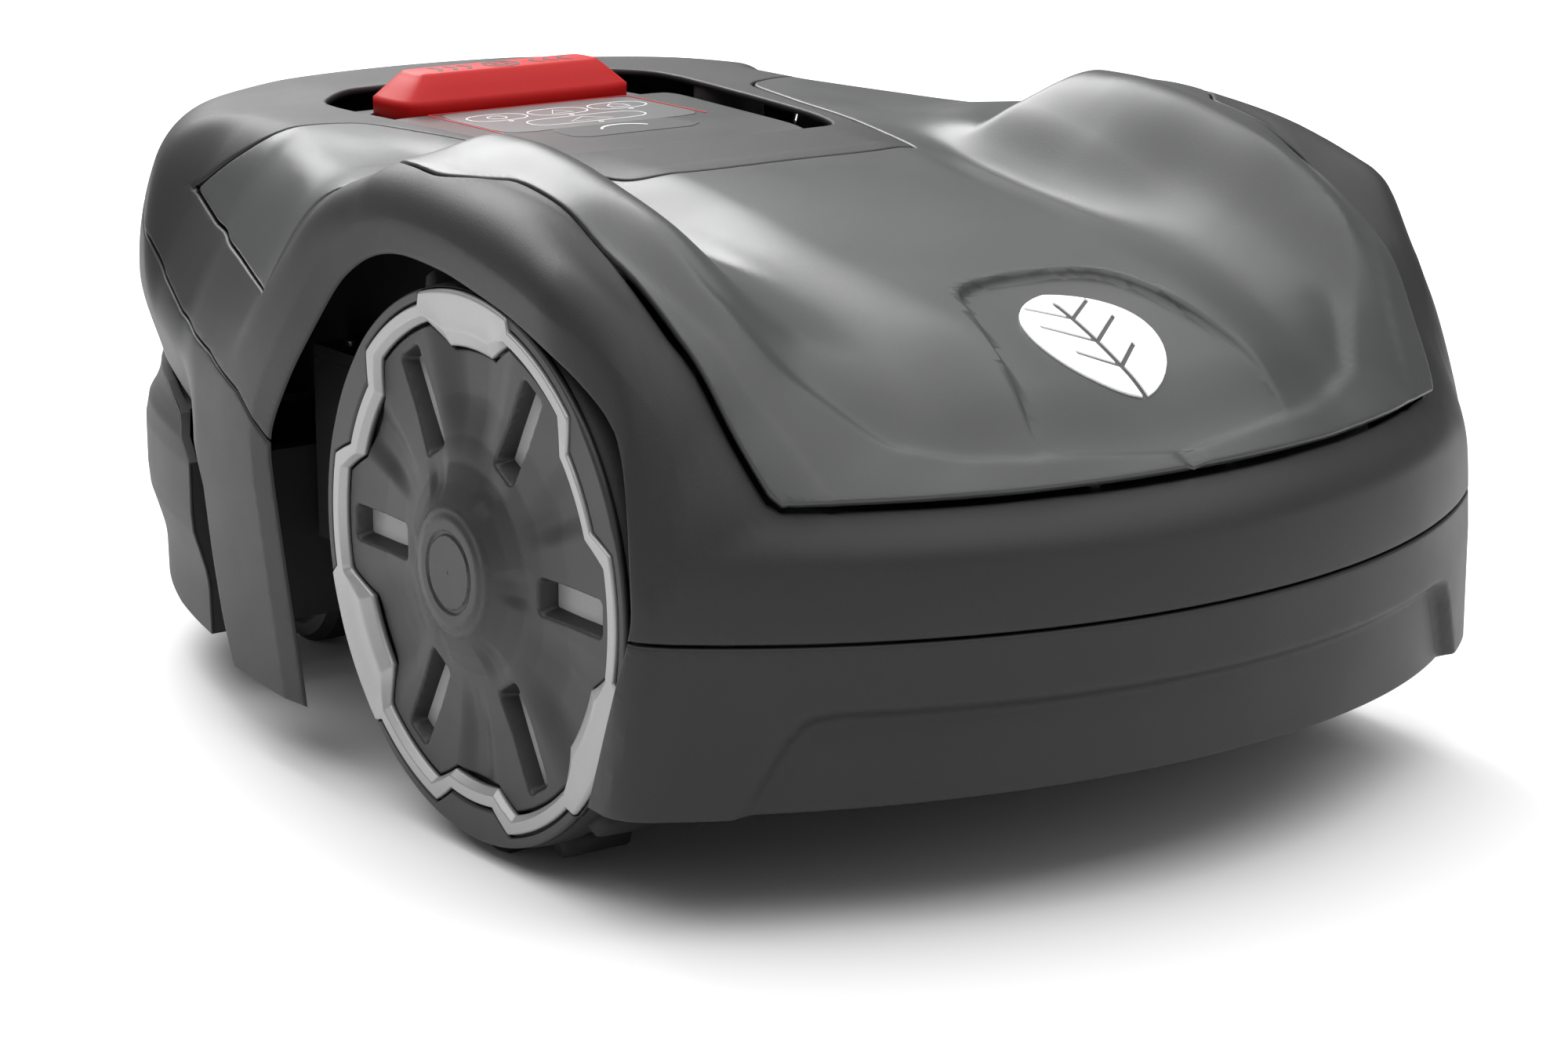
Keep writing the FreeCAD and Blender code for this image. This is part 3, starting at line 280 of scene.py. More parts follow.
# ---- cutting a surface along lines --------------------------------------------------------
def slice_surface(data, triangles, column, level):
    """Insert a row of edges where one column of the vertex data crosses a level."""
    s = data[:, column] - level
    s = np.where(np.abs(s) < 0.08, 0.0, s)
    data = data.copy()
    data[:, column] = np.where(s == 0, level, data[:, column])
    sign = np.sign(s).astype(int)
    ts = sign[triangles]
    mixed = (ts.max(1) > 0) & (ts.min(1) < 0)
    keep = triangles[~mixed]
    cut = triangles[mixed]
    cs = ts[mixed]
    has_zero = (cs == 0).any(1)
    result = [keep]
    # All crossing edges are gathered first, so that neighbouring triangles share vertices.
    edges = []
    groups = []
    if has_zero.any():
        tri = cut[has_zero]
        sg = cs[has_zero]
        zero = np.argmax(sg == 0, axis=1)
        order = (zero[:, None] + np.arange(3)) % 3
        tri = np.take_along_axis(tri, order, 1)
        edges.append((tri[:, 1], tri[:, 2]))
        groups.append(("zero", tri))
    if (~has_zero).any():
        tri = cut[~has_zero]
        sg = cs[~has_zero]
        lone_sign = -np.sign(sg.sum(1))
        lone = np.argmax(sg == lone_sign[:, None], axis=1)
        order = (lone[:, None] + np.arange(3)) % 3
        tri = np.take_along_axis(tri, order, 1)
        edges.append((tri[:, 0], tri[:, 1]))
        edges.append((tri[:, 0], tri[:, 2]))
        groups.append(("lone", tri))
    if not edges:
        return data, triangles
    all_a = np.concatenate([e[0] for e in edges])
    all_b = np.concatenate([e[1] for e in edges])
    low = np.minimum(all_a, all_b).astype(np.int64)
    high = np.maximum(all_a, all_b).astype(np.int64)
    unique, inverse = np.unique(low * len(data) + high, return_inverse=True)
    low, high = unique // len(data), unique % len(data)
    rows = data[low] + (data[high] - data[low]) * (s[low] / (s[low] - s[high]))[:, None]
    rows[:, column] = level
    numbers = len(data) + inverse
    at = 0
    for kind, tri in groups:
        n = len(tri)
        if kind == "zero":
            m = numbers[at:at + n]
            at += n
            result.append(np.stack([tri[:, 0], tri[:, 1], m], 1))
            result.append(np.stack([tri[:, 0], m, tri[:, 2]], 1))
        else:
            p = numbers[at:at + n]
            q = numbers[at + n:at + 2 * n]
            at += 2 * n
            result.append(np.stack([tri[:, 0], p, q], 1))
            result.append(np.stack([p, tri[:, 1], tri[:, 2]], 1))
            result.append(np.stack([p, tri[:, 2], q], 1))
    return np.concatenate([data, rows]), np.concatenate(result)


def rounded(points, passes=3):
    """Corner-cut a closed outline."""
    p = np.array(points, float)
    for _ in range(passes):
        nxt = np.roll(p, -1, axis=0)
        length = np.linalg.norm(nxt - p, axis=1, keepdims=True)
        share = np.minimum(0.25, 6.0 / np.maximum(length, 1e-6))
        p = np.stack([p + (nxt - p) * share, nxt - (nxt - p) * share], 1).reshape(-1, 2)
    return p


def outline_distance(u, v, outline):
    """Signed distance to a closed outline, positive inside."""
    a = np.array(outline, float)
    b = np.roll(a, -1, axis=0)
    best = np.full(len(u), 1e9)
    inside = np.zeros(len(u), bool)
    for (ax, ay), (bx, by) in zip(a, b):
        ex = bx - ax
        ey = by - ay
        length = ex * ex + ey * ey
        if length < 1e-12:
            continue
        t = np.clip(((u - ax) * ex + (v - ay) * ey) / length, 0, 1)
        best = np.minimum(best, (u - ax - t * ex)**2 + (v - ay - t * ey)**2)
        if ay != by:
            crosses = (ay > v) != (by > v)
            inside ^= crosses & (u < ax + (v - ay) * ex / (by - ay))
    return np.where(inside, 1, -1) * np.sqrt(best)


def both_sides(half):
    return list(half) + [(-x, y) for x, y in reversed(half) if x > 0]


HOOD_HALF = [(0, 275), (34, 273), (68, 267), (101, 258), (133, 245), (144, 240), (150, 230), (157, 200),
             (158, 98), (162, 93), (175, 76), (174, 60), (169, 22), (170, 10), (178, -15), (186, -36),
             (205, -46), (205, -176), (156, -176), (146, -158), (130, -129), (106, -127), (92, -120),
             (81, -66), (76, -20), (70, 24), (62, 33), (39, 38), (0, 38)]
# Lower edge of the hood ahead of the wheels, seen from the side: (y, z).
HOOD_SIDE = [(-300, 300), (-300, 215), (-176, 200), (-160, 195), (-146, 190.7), (-132, 186.6), (-112, 183.7),
             (-86, 182.2), (-63, 180.3), (-34, 178), (-31, 140), (300, 140), (300, 300)]
OPENING_HALF = [(0, -18), (60, -18), (67, -26), (71, -44), (82, -158), (80, -178), (54, -204), (0, -204)]
ARCH = [(-2, 10), (-5, 29), (-30, 125), (-10, 153), (20, 187), (29, 195), (45, 204), (65, 208), (96, 206),
        (136, 198), (152, 193), (170, 187), (194.4, 168), (205.6, 141.2), (212, 107.4), (188, 44), (178, 20),
        (175, 10)]
SEAM_LINE = [(-400, 210), (-300, 197), (-200, 184), (-174, 174), (-156, 163), (-129, 153.5), (-106, 150),
             (-81, 147.5), (-51, 138.5), (-29, 124), (40, REAR_SEAM_Z), (400, REAR_SEAM_Z)]
LOWER_LINE = [(-400, 134), (-300, 132), (-169, 122), (-137, 116), (-100, 105), (-91, 93), (-83, 67),
              (-74, 45), (-64, 28), (-2, 27), (20, 24), (140, 38), (200, 41), (290, 47), (400, 47)]
BADGE_RECESS = [(0, 174), (20, 175.5), (31, 180), (37, 189), (58, 258), (0, 264)]
BADGE_DEPTH = 3.4
BUMPER_RECESS = [(0, 20), (176, 20), (146, 80), (0, 80)]

# columns of the surface data, all in millimetres
X, Y, Z, NX, NY, NZ, HOOD, OPENING, ARCHWAY, UPPER, EXISTS, BADGE, RECESS = range(13)
GAP = 0.5
EDGE_RADIUS = 1.0
ROLL_SHARES = (0.0, 0.134, 0.5, 1.0)
SHELL_SKIN = 2.6
THINNEST_WALL = 0.6


def above(line):
    return [(-400, 400)] + list(line) + [(400, 400)]


def surface_data():
    grid = body_grid()
    triangles = grid_triangles(grid.shape[0], grid.shape[1])
    p = grid.reshape(-1, 3)
    normal = surface_normals(p, body_value)
    x, y, z = p.T
    hood = outline_distance(x, y, rounded(both_sides(HOOD_HALF)))
    hood = np.minimum(hood, 1.2 * (z - HOOD_LIP_Z + 0.8))
    hood = np.minimum(hood, outline_distance(y, z, HOOD_SIDE))
    opening = np.where(z < 150, -50.0, outline_distance(x, y, rounded(both_sides(OPENING_HALF))))
    arch = np.where(np.abs(x) < 130, -50.0, outline_distance(y, z, rounded(ARCH)))
    upper = outline_distance(y, z, above(SEAM_LINE))
    exists = outline_distance(y, z, above(LOWER_LINE))
    badge = np.where(z < 150, -50.0, outline_distance(x, y, rounded(both_sides(BADGE_RECESS))))
    recess = np.where(y < 190, -50.0, outline_distance(x, z, rounded(both_sides(BUMPER_RECESS), 2)))
    fields = [hood, opening, arch, upper, exists, badge, recess]
    data = np.concatenate([p, normal, np.stack(fields, 1)], 1)
    cuts = [(EXISTS, EDGE_RADIUS * share) for share in ROLL_SHARES]
    for share in ROLL_SHARES:
        reach = EDGE_RADIUS * share
        cuts += [(HOOD, GAP + reach), (HOOD, -GAP - reach), (UPPER, GAP + reach), (UPPER, -GAP - reach)]
        cuts += [(OPENING, -reach), (ARCHWAY, -reach)]
    cuts += [(ARCHWAY, -10.6), (ARCHWAY, -12.2), (BADGE, -0.8), (BADGE, 0.3), (BADGE, 1.4)]
    cuts += [(RECESS, -0.8), (RECESS, 0.4), (RECESS, 3.0), (RECESS, 5.5)]
    for column, level in cuts:
        data, triangles = slice_surface(data, triangles, column, level)
    return data, triangles


def edge_drop(edge, radius):
    """How far a rounded edge falls away at a distance from the panel's edge."""
    short = np.clip(radius - edge, 0.0, radius)
    return radius - np.sqrt(radius * radius - short * short)


# Plan line along which the hood turns out into its rear lip.
FLARE = [(0, 262), (60, 255), (100, 235), (125, 205), (138, 185), (140, 150), (250, 150), (250, 400),
         (0, 400)]


def body_relief(d):
    """Depth of the moulded details below the smooth surface."""
    rim = 1.9 * np.clip((d[:, ARCHWAY] + 12.2) / 12.2, 0.0, 1.0) * (d[:, ARCHWAY] > -12.3)
    badge = BADGE_DEPTH * (1 - ramp(205, 262, d[:, Y])) * ramp(-0.8, 1.4, d[:, BADGE])
    recess = 5.4 * ramp(-0.8, 5.5, d[:, RECESS])
    behind = ramp(120, 200, d[:, Y])
    cove = 4.5 * behind * (1 - ramp(0, 24, -d[:, HOOD])) * (d[:, HOOD] < 0) * (d[:, UPPER] > 0)
    side = np.abs(d[:, X])
    trough = 1.3 * np.exp(-((side - 85) / 4.5)**2) * ramp(20, 50, d[:, Y]) * (1 - ramp(105, 150, d[:, Y]))
    lip = outline_distance(side, d[:, Y], FLARE)
    flare = 1.8 * np.exp(-(np.minimum(lip, 0) / 11.0)**2) * (1 - ramp(0, 4, lip)) * ramp(150, 185, d[:, Y])
    return rim + badge + recess + cove + trough + flare * (d[:, HOOD] > 0)


def boundary_edges(triangles):
    edges = np.concatenate([triangles[:, [0, 1]], triangles[:, [1, 2]], triangles[:, [2, 0]]])
    low = edges.min(1).astype(np.int64)
    high = edges.max(1).astype(np.int64)
    keys = low * (high.max() + 1) + high
    _, first, counts = np.unique(keys, return_index=True, return_counts=True)
    return edges[first[counts == 1]]


def make_object(name, points, faces, material, smooth=True):
    """Mesh object from points in millimetres; faces are a list of arrays of equal-sided faces."""
    mesh = bpy.data.meshes.new(name)
    loops = np.concatenate([f.reshape(-1) for f in faces]).astype(np.int32)
    sizes = np.concatenate([np.full(len(f), f.shape[1]) for f in faces]).astype(np.int32)
    starts = np.concatenate([[0], np.cumsum(sizes)[:-1]]).astype(np.int32)
    mesh.vertices.add(len(points))
    mesh.vertices.foreach_set("co", (np.asarray(points) * MM).astype(np.float32).reshape(-1))
    mesh.loops.add(len(loops))
    mesh.loops.foreach_set("vertex_index", loops)
    mesh.polygons.add(len(sizes))
    mesh.polygons.foreach_set("loop_start", starts)
    mesh.polygons.foreach_set("use_smooth", np.full(len(sizes), smooth))
    mesh.update(calc_edges=True)
    mesh.validate()
    obj = bpy.data.objects.new(name, mesh)
    bpy.context.scene.collection.objects.link(obj)
    mesh.materials.append(material)
    return obj


def thick_sheet(name, points, normals, triangles, drop, relief, thickness, material):
    """Closed moulding: the outer surface, an inner one behind it and the walls between their edges."""
    used, flat = np.unique(triangles, return_inverse=True)
    tri = flat.reshape(triangles.shape)
    p = points[used]
    n = normals[used]
    drop = np.broadcast_to(drop, len(points))[used]
    relief = np.broadcast_to(relief, len(points))[used]
    outer = p - n * (drop + relief)[:, None]
    depth = np.maximum(np.broadcast_to(thickness, len(points))[used], relief + THINNEST_WALL)
    inner = p - n * depth[:, None]
    count = len(p)
    edges = boundary_edges(tri)
    walls = np.stack([edges[:, 1], edges[:, 0], edges[:, 0] + count, edges[:, 1] + count], 1)
    faces = [tri, tri[:, ::-1] + count, walls]
    return make_object(name, np.concatenate([outer, inner]), faces, material)


def depth_inside(data, fields):
    """Smallest depth past the levels of the listed fields: (column, sign, level)."""
    return np.min([sign * data[:, column] - level for column, sign, level in fields], axis=0)


def body_panel(name, data, triangles, fields, keep, material, relief):
    """One moulded panel: the part of the surface where every listed field is above its level."""
    middle = data[triangles].mean(1)
    inside = (depth_inside(middle, fields) > 0) & keep(middle)
    drop = edge_drop(np.maximum(depth_inside(data, fields), 0.0), EDGE_RADIUS)
    return thick_sheet(name, data[:, :3], data[:, NX:NZ + 1], triangles[inside], drop, relief, SHELL_SKIN,
                       material)


# ---- materials ----------------------------------------------------------------------------
LOOKS = {}


def node_tools(name):
    material = bpy.data.materials.new(name)
    material.use_nodes = True
    nodes = material.node_tree.nodes
    links = material.node_tree.links
    shader = nodes["Principled BSDF"]
    place = nodes.new("ShaderNodeTexCoord").outputs["Object"]
    return material, nodes, links, shader, place


def noise(nodes, links, place, scale, detail=2.0, roughness=0.5):
    node = nodes.new("ShaderNodeTexNoise")
    node.inputs["Scale"].default_value = scale
    node.inputs["Detail"].default_value = detail
    node.inputs["Roughness"].default_value = roughness
    links.new(place, node.inputs["Vector"])
    return node.outputs["Fac"]


def remap(nodes, links, value, low, high, to_low, to_high):
    node = nodes.new("ShaderNodeMapRange")
    node.inputs["From Min"].default_value = low
    node.inputs["From Max"].default_value = high
    node.inputs["To Min"].default_value = to_low
    node.inputs["To Max"].default_value = to_high
    links.new(value, node.inputs["Value"])
    return node.outputs["Result"]


def mix_colour(nodes, links, factor, first, second):
    node = nodes.new("ShaderNodeMix")
    node.data_type = "RGBA"
    node.inputs["A"].default_value = (*first, 1)
    node.inputs["B"].default_value = (*second, 1)
    links.new(factor, node.inputs["Factor"])
    return node.outputs["Result"]


def shaded(colour, amount):
    return tuple(min(1.0, c * amount) for c in colour)


def add_bump(nodes, links, shader, height, strength, distance):
    bump = nodes.new("ShaderNodeBump")
    bump.inputs["Strength"].default_value = strength
    bump.inputs["Distance"].default_value = distance
    links.new(height, bump.inputs["Height"])
    links.new(bump.outputs["Normal"], shader.inputs["Normal"])


def plastic(name, colour, roughness, grain=0.10, grain_scale=1900, mottle=0.06, metallic=0.0, specular=0.5,
            coat=0.0, coat_roughness=0.1):
    """Moulded plastic: a fine spark-eroded grain, faint mottling and an uneven sheen."""
    material, nodes, links, shader, place = node_tools(name)
    fine = noise(nodes, links, place, grain_scale, 3.0, 0.6)
    broad = noise(nodes, links, place, 14.0, 3.0, 0.55)
    speckle = noise(nodes, links, place, grain_scale * 0.55, 2.0, 0.7)
    both = nodes.new("ShaderNodeMath")
    both.operation = "MULTIPLY_ADD"
    both.inputs[1].default_value = 0.5
    links.new(broad, both.inputs[0])
    half = nodes.new("ShaderNodeMath")
    half.operation = "MULTIPLY"
    half.inputs[1].default_value = 0.5
    links.new(speckle, half.inputs[0])
    links.new(half.outputs[0], both.inputs[2])
    factor = remap(nodes, links, both.outputs[0], 0.3, 0.7, 0.0, 1.0)
    links.new(mix_colour(nodes, links, factor, shaded(colour, 1 - mottle), shaded(colour, 1 + mottle)),
              shader.inputs["Base Color"])
    links.new(remap(nodes, links, broad, 0.3, 0.7, roughness - 0.04, roughness + 0.05),
              shader.inputs["Roughness"])
    add_bump(nodes, links, shader, fine, grain, 0.0004)
    shader.inputs["Metallic"].default_value = metallic
    shader.inputs["Specular IOR Level"].default_value = specular
    shader.inputs["Coat Weight"].default_value = coat
    shader.inputs["Coat Roughness"].default_value = coat_roughness
    LOOKS[name] = material


def brushed(name, colour, roughness, stretch=(1, 1, 24), scale=90):
    """Metal with fine drawn lines along one direction."""
    material, nodes, links, shader, place = node_tools(name)
    mapping = nodes.new("ShaderNodeMapping")
    mapping.inputs["Scale"].default_value = stretch
    links.new(place, mapping.inputs["Vector"])
    lines = noise(nodes, links, mapping.outputs["Vector"], scale, 3.0)
    stain = noise(nodes, links, place, 40.0, 3.0)
    links.new(mix_colour(nodes, links, stain, shaded(colour, 0.86), shaded(colour, 1.08)),
              shader.inputs["Base Color"])
    links.new(remap(nodes, links, lines, 0.3, 0.7, roughness - 0.08, roughness + 0.1),
              shader.inputs["Roughness"])
    add_bump(nodes, links, shader, lines, 0.15, 0.0002)
    shader.inputs["Metallic"].default_value = 1.0
    LOOKS[name] = material


plastic("shell_charcoal", (0.019, 0.019, 0.020), 0.50, grain=0.22, specular=0.32)
plastic("hood_satin", (0.046, 0.047, 0.048), 0.37, grain=0.14, specular=0.42)
plastic("chassis_black", (0.022, 0.022, 0.023), 0.6, grain=0.25)
plastic("console_gloss", (0.035, 0.035, 0.037), 0.36, grain=0.06, coat=0.15)
plastic("stop_red", (0.44, 0.006, 0.006), 0.46, grain=0.14, mottle=0.05, specular=0.22)
plastic("badge_white", (0.86, 0.86, 0.86), 0.3, grain=0.04, mottle=0.02, coat=0.3)
plastic("tyre_rubber", (0.018, 0.018, 0.018), 0.72, grain=0.4, grain_scale=1300, mottle=0.15, specular=0.35)
plastic("soft_rubber", (0.024, 0.024, 0.024), 0.75, grain=0.3, specular=0.3)
plastic("rim_plastic", (0.020, 0.020, 0.021), 0.44, grain=0.22, specular=0.4)
plastic("trim_silver", (0.33, 0.33, 0.33), 0.38, grain=0.10, metallic=0.45, mottle=0.04)
brushed("bright_steel", (0.62, 0.62, 0.61), 0.28)
brushed("motor_steel", (0.34, 0.34, 0.35), 0.42)
brushed("bush_brass", (0.62, 0.46, 0.20), 0.35)
plastic("board_green", (0.012, 0.10, 0.035), 0.4, grain=0.08, mottle=0.25)
plastic("battery_wrap", (0.03, 0.06, 0.16), 0.35, grain=0.08)
plastic("moving_plastic", (0.045, 0.045, 0.047), 0.48, grain=0.2)
plastic("insert_grey", (0.30, 0.30, 0.30), 0.5, grain=0.2)
plastic("knob_orange", (0.75, 0.17, 0.015), 0.42, grain=0.12)
NODE_SLOTS = {part["node"]: part["material_slot"] for part in frame["record"]["subparts"]}
for node_name, node_object in frame["nodes"].items():
    node_object.data.materials.clear()
    node_object.data.materials.append(LOOKS[NODE_SLOTS[node_name]])


def piece(obj, body, slot, *nodes):
    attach(obj, body)
    if nodes:
        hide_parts(*nodes)
    return obj


# ---- the shell's four panels --------------------------------------------------------------
body_data, body_triangles = surface_data()
relief = body_relief(body_data)
everywhere = lambda middle: np.ones(len(middle), bool)
panels = [
    ("hood", "hood_panel", "hood_satin", [(HOOD, 1, GAP)], everywhere),
    ("upper_shell", "main_shell", "shell_charcoal",
     [(HOOD, -1, GAP), (OPENING, -1, 0.0), (ARCHWAY, -1, 0.0), (UPPER, 1, GAP)], everywhere),
    ("bumper_front", "front_bumper", "shell_charcoal",
     [(UPPER, -1, GAP), (ARCHWAY, -1, 0.0), (EXISTS, 1, 0.0)], lambda middle: middle[:, Y] < 60),
    ("bumper_rear", "rear_bumper", "shell_charcoal",
     [(UPPER, -1, GAP), (ARCHWAY, -1, 0.0), (EXISTS, 1, 0.0)], lambda middle: middle[:, Y] > 60),
]
for name, node, slot, fields, keep in panels:
    made = body_panel(name, body_data, body_triangles, fields, keep, LOOKS[slot], relief)
    piece(made, "shell", slot, node)


# ---- drive wheels -------------------------------------------------------------------------
WHEEL_Y = 107.0
WHEEL_Z = 104.0
BAND_RADIUS = 97.5
BAND_TOP = 186.6
INSERT_TOP = 178.6
LUG_COUNT = 18
TREAD_MIDDLE = 162
# Outlines over one sixth of the wheel, from the middle of a broad pad: (degrees, radius).
RING_INSIDE = [(0, 76.8), (10, 76.8), (17.5, 86.2), (42.5, 86.2), (49.5, 77.2), (60, 77.2)]
RING_OUTSIDE = [(0, 96.6), (17, 96.6), (18.5, 92.6), (45, 92.6), (50.5, 83.6), (60, 83.6)]
CAP_PROFILE = [(0, 194.4), (18.6, 194.4), (20.5, 193.6), (22.6, 193.3), (24, 192.2), (30, 189.0), (37, 186.3),
               (46, 184.8), (60, 184.0), (74, 184.2), (90, 184.4)]
PAD_FIRST = 90.0
RING_TOP = 187.3
SLOT_NEAR, SLOT_FAR, SLOT_HALF = 43.0, 80.5, 6.6
SLOT_SLOPE = 2.3
SLOT_DEPTH = 6.0


def sixth(angle):
    """Degrees from the middle of the nearest broad pad, 0 to 60."""
    turn = np.mod(np.degrees(angle) - PAD_FIRST, 120.0)
    return np.minimum(turn, 120.0 - turn)


def along(line, value):
    return np.interp(value, [p[0] for p in line], [p[1] for p in line])


def slot_distance(u, v):
    """Signed distance inside the nearest window slot, whose corners are rounded."""
    angle = np.arctan2(v, u)
    nearest = np.round(angle / math.radians(60.0)) * math.radians(60.0)
    radius = np.hypot(u, v)
    s = radius * np.cos(angle - nearest)
    w = radius * np.sin(angle - nearest)
    corner = 2.4
    ds = np.abs(s - (SLOT_NEAR + SLOT_FAR) / 2) - (SLOT_FAR - SLOT_NEAR) / 2 + corner
    dw = np.abs(w) - SLOT_HALF + corner
    outside = np.hypot(np.maximum(ds, 0), np.maximum(dw, 0)) + np.minimum(np.maximum(ds, dw), 0.0)
    return corner - outside


def polar_grid(inner, outer, rows, around=720):
    """Points (u, v, share) between two closed outlines given as radius functions of the angle."""
    angle = 2 * math.pi * np.arange(around) / around
    share = np.linspace(0.0, 1.0, rows)
    radius = inner(angle)[:, None] * (1 - share) + outer(angle)[:, None] * share
    u = radius * np.cos(angle)[:, None]
    v = radius * np.sin(angle)[:, None]
    grid = np.stack([u, v, np.broadcast_to(share, u.shape)], -1)
    return grid.reshape(-1, 3), grid_triangles(around, rows)


def wheel_sheet(name, side, data, triangles, height, drop, thickness, material):
    """Sheet on the wheel's outer face. u points to the machine's front and v up, seen on the left wheel."""
    u = data[:, 0]
    v = data[:, 1]
    points = np.stack([side * height, WHEEL_Y - u, WHEEL_Z + v], 1)
    normals = np.tile([side * 1.0, 0.0, 0.0], (len(points), 1))
    if side < 0:
        triangles = triangles[:, ::-1]
    return thick_sheet(name, points, normals, triangles, drop, 0.0, thickness, material)


def cap_face():
    """The dished cap: hub disc, dome, six slots, and the fields that shape them."""
    grid, triangles = polar_grid(lambda a: np.full(len(a), 0.05),
                                 lambda a: along(RING_INSIDE, sixth(a)) - 1.0, int(90 * FINE))
    u, v = grid[:, 0], grid[:, 1]
    radius = np.hypot(u, v)
    edge = along(RING_INSIDE, sixth(np.arctan2(v, u))) - 1.0 - radius
    data = np.stack([u, v, slot_distance(u, v), edge, radius], 1)
    for column, level in ((2, -1.0), (2, -0.3), (2, 0.2), (2, SLOT_SLOPE), (3, 0.5), (3, 1.1), (4, 12.6),
                          (4, 13.2), (4, 14.4), (4, 15.0)):
        data, triangles = slice_surface(data, triangles, column, level)
    u, v, slot, edge, radius = data.T
    angle = np.arctan2(v, u)
    turn = sixth(angle)
    height = along(CAP_PROFILE, radius)
    outer_part = ramp(36, 62, radius)
    height = height - 3.4 * (1 - ramp(5, 21, turn)) * outer_part
    height = height - 2.2 * ramp(49, 58, turn) * outer_part
    lean = np.abs(np.mod(np.degrees(angle) + 30.0, 60.0) - 30.0)
    height = height - 1.5 * (1 - ramp(3, 13, lean)) * (1 - ramp(30, 44, radius)) * ramp(24, 34, radius)
    height = height - 0.7 * np.clip((0.9 - np.abs(radius - 13.8)) / 0.3, 0.0, 1.0)
    height = height - edge_drop(np.maximum(edge, 0.0), 1.1)
    height = height - (SLOT_DEPTH * np.clip(slot / SLOT_SLOPE, 0.0, 1.0) + 0.35 * ramp(-1.0, 0.2, slot))
    middle = data[triangles].mean(1)
    return data, triangles[middle[:, 2] < SLOT_SLOPE], height


def ring_face():
    grid, triangles = polar_grid(lambda a: along(RING_INSIDE, sixth(a)),
                                 lambda a: along(RING_OUTSIDE, sixth(a)), int(24 * FINE))
    share = grid[:, 2]
    radius = np.hypot(grid[:, 0], grid[:, 1])
    angle = np.arctan2(grid[:, 1], grid[:, 0])
    width = along(RING_OUTSIDE, sixth(angle)) - along(RING_INSIDE, sixth(angle))
    inward = share * width
    outward = (1 - share) * width
    pad = 1 - ramp(10, 19, sixth(angle))
    height = RING_TOP - 2.3 * (1 - np.clip(inward / (2.2 + 3.5 * pad), 0.0, 1.0)) - edge_drop(outward, 0.8)
    height = height - 1.3 * pad * ramp(0, 12, outward) - 0.8 * (1 - np.clip((radius - 70) / 14, 0, 1))
    return grid, triangles, height


def band_face():
    """Dark plates between the silver ring and the tyre."""
    inner = lambda a: np.minimum(along(RING_OUTSIDE, sixth(a)) + 0.9, BAND_RADIUS - 0.5)
    grid, triangles = polar_grid(inner, lambda a: np.full(len(a), BAND_RADIUS), int(14 * FINE))
    angle = np.arctan2(grid[:, 1], grid[:, 0])
    width = BAND_RADIUS - inner(angle)
    near = np.minimum(grid[:, 2], 1 - grid[:, 2]) * width
    height = BAND_TOP - edge_drop(near, 1.0) - 0.9 * (width < 0.8)
    return grid, triangles, height


def insert_face():
    grid, triangles = polar_grid(lambda a: np.full(len(a), 40.0), lambda a: np.full(len(a), 83.0), 4, 96)
    return grid, triangles, np.full(len(grid), INSERT_TOP)


def revolved(profile, segments):
    """Closed ring of quads from (x, radius) points turned about the wheel's axle."""
    profile = np.array(profile, float)
    angle = 2 * math.pi * np.arange(segments) / segments
    x = np.broadcast_to(profile[:, 0], (segments, len(profile)))
    y = WHEEL_Y - profile[:, 1] * np.cos(angle)[:, None]
    z = WHEEL_Z + profile[:, 1] * np.sin(angle)[:, None]
    points = np.stack([x, y, z], -1).reshape(-1, 3)
    i, j = np.meshgrid(np.arange(segments), np.arange(len(profile)), indexing="ij")
    n = len(profile)
    nxt = (j + 1) % n
    k = (i + 1) % segments
    quads = np.stack([i * n + j, i * n + nxt, k * n + nxt, k * n + j], -1).reshape(-1, 4)
    return points, quads


TYRE_PROFILE = [(144, 86), (141.5, 93), (143, 97.2), (146, 98.4), (150, 98.5), (152, 97.3), (170, 97.3),
                (172, 98.5), (177, 98.5), (181, 98.2), (183.6, 97.0), (184.6, 95), (184.8, 92), (183, 89),
                (181, 88), (180, 86)]


def lug_points(index):
    """One tread lug: a block with sloped sides, leaning one way or the other."""
    turn = 2 * math.pi * index / LUG_COUNT
    odd = index % 2
    lean = math.radians(8 if odd else -8)
    x0, x1 = (152, 178) if odd else (146, 172)
    corners = []
    for radius, half, shrink in ((96.0, 5.6, 0.0), (100.0, 5.2, 0.5), (103.0, 4.4, 1.2), (103.9, 3.4, 2.2)):
        for x, s in ((x0 + shrink, -half), (x1 - shrink, -half), (x1 - shrink, half), (x0 + shrink, half)):
            xx = TREAD_MIDDLE + (x - TREAD_MIDDLE) * math.cos(lean) - s * math.sin(lean)
            ss = (x - TREAD_MIDDLE) * math.sin(lean) + s * math.cos(lean)
            reach = math.sqrt(max(radius * radius - ss * ss, 0))
            y = -(reach * math.sin(turn) + ss * math.cos(turn))
            z = reach * math.cos(turn) - ss * math.sin(turn)
            corners.append((xx, WHEEL_Y + y, WHEEL_Z + z))
    faces = [(0, 3, 2, 1), (12, 13, 14, 15)]
    for level in range(3):
        a = level * 4
        faces += [(a + k, a + (k + 1) % 4, a + 4 + (k + 1) % 4, a + 4 + k) for k in range(4)]
    return corners, faces


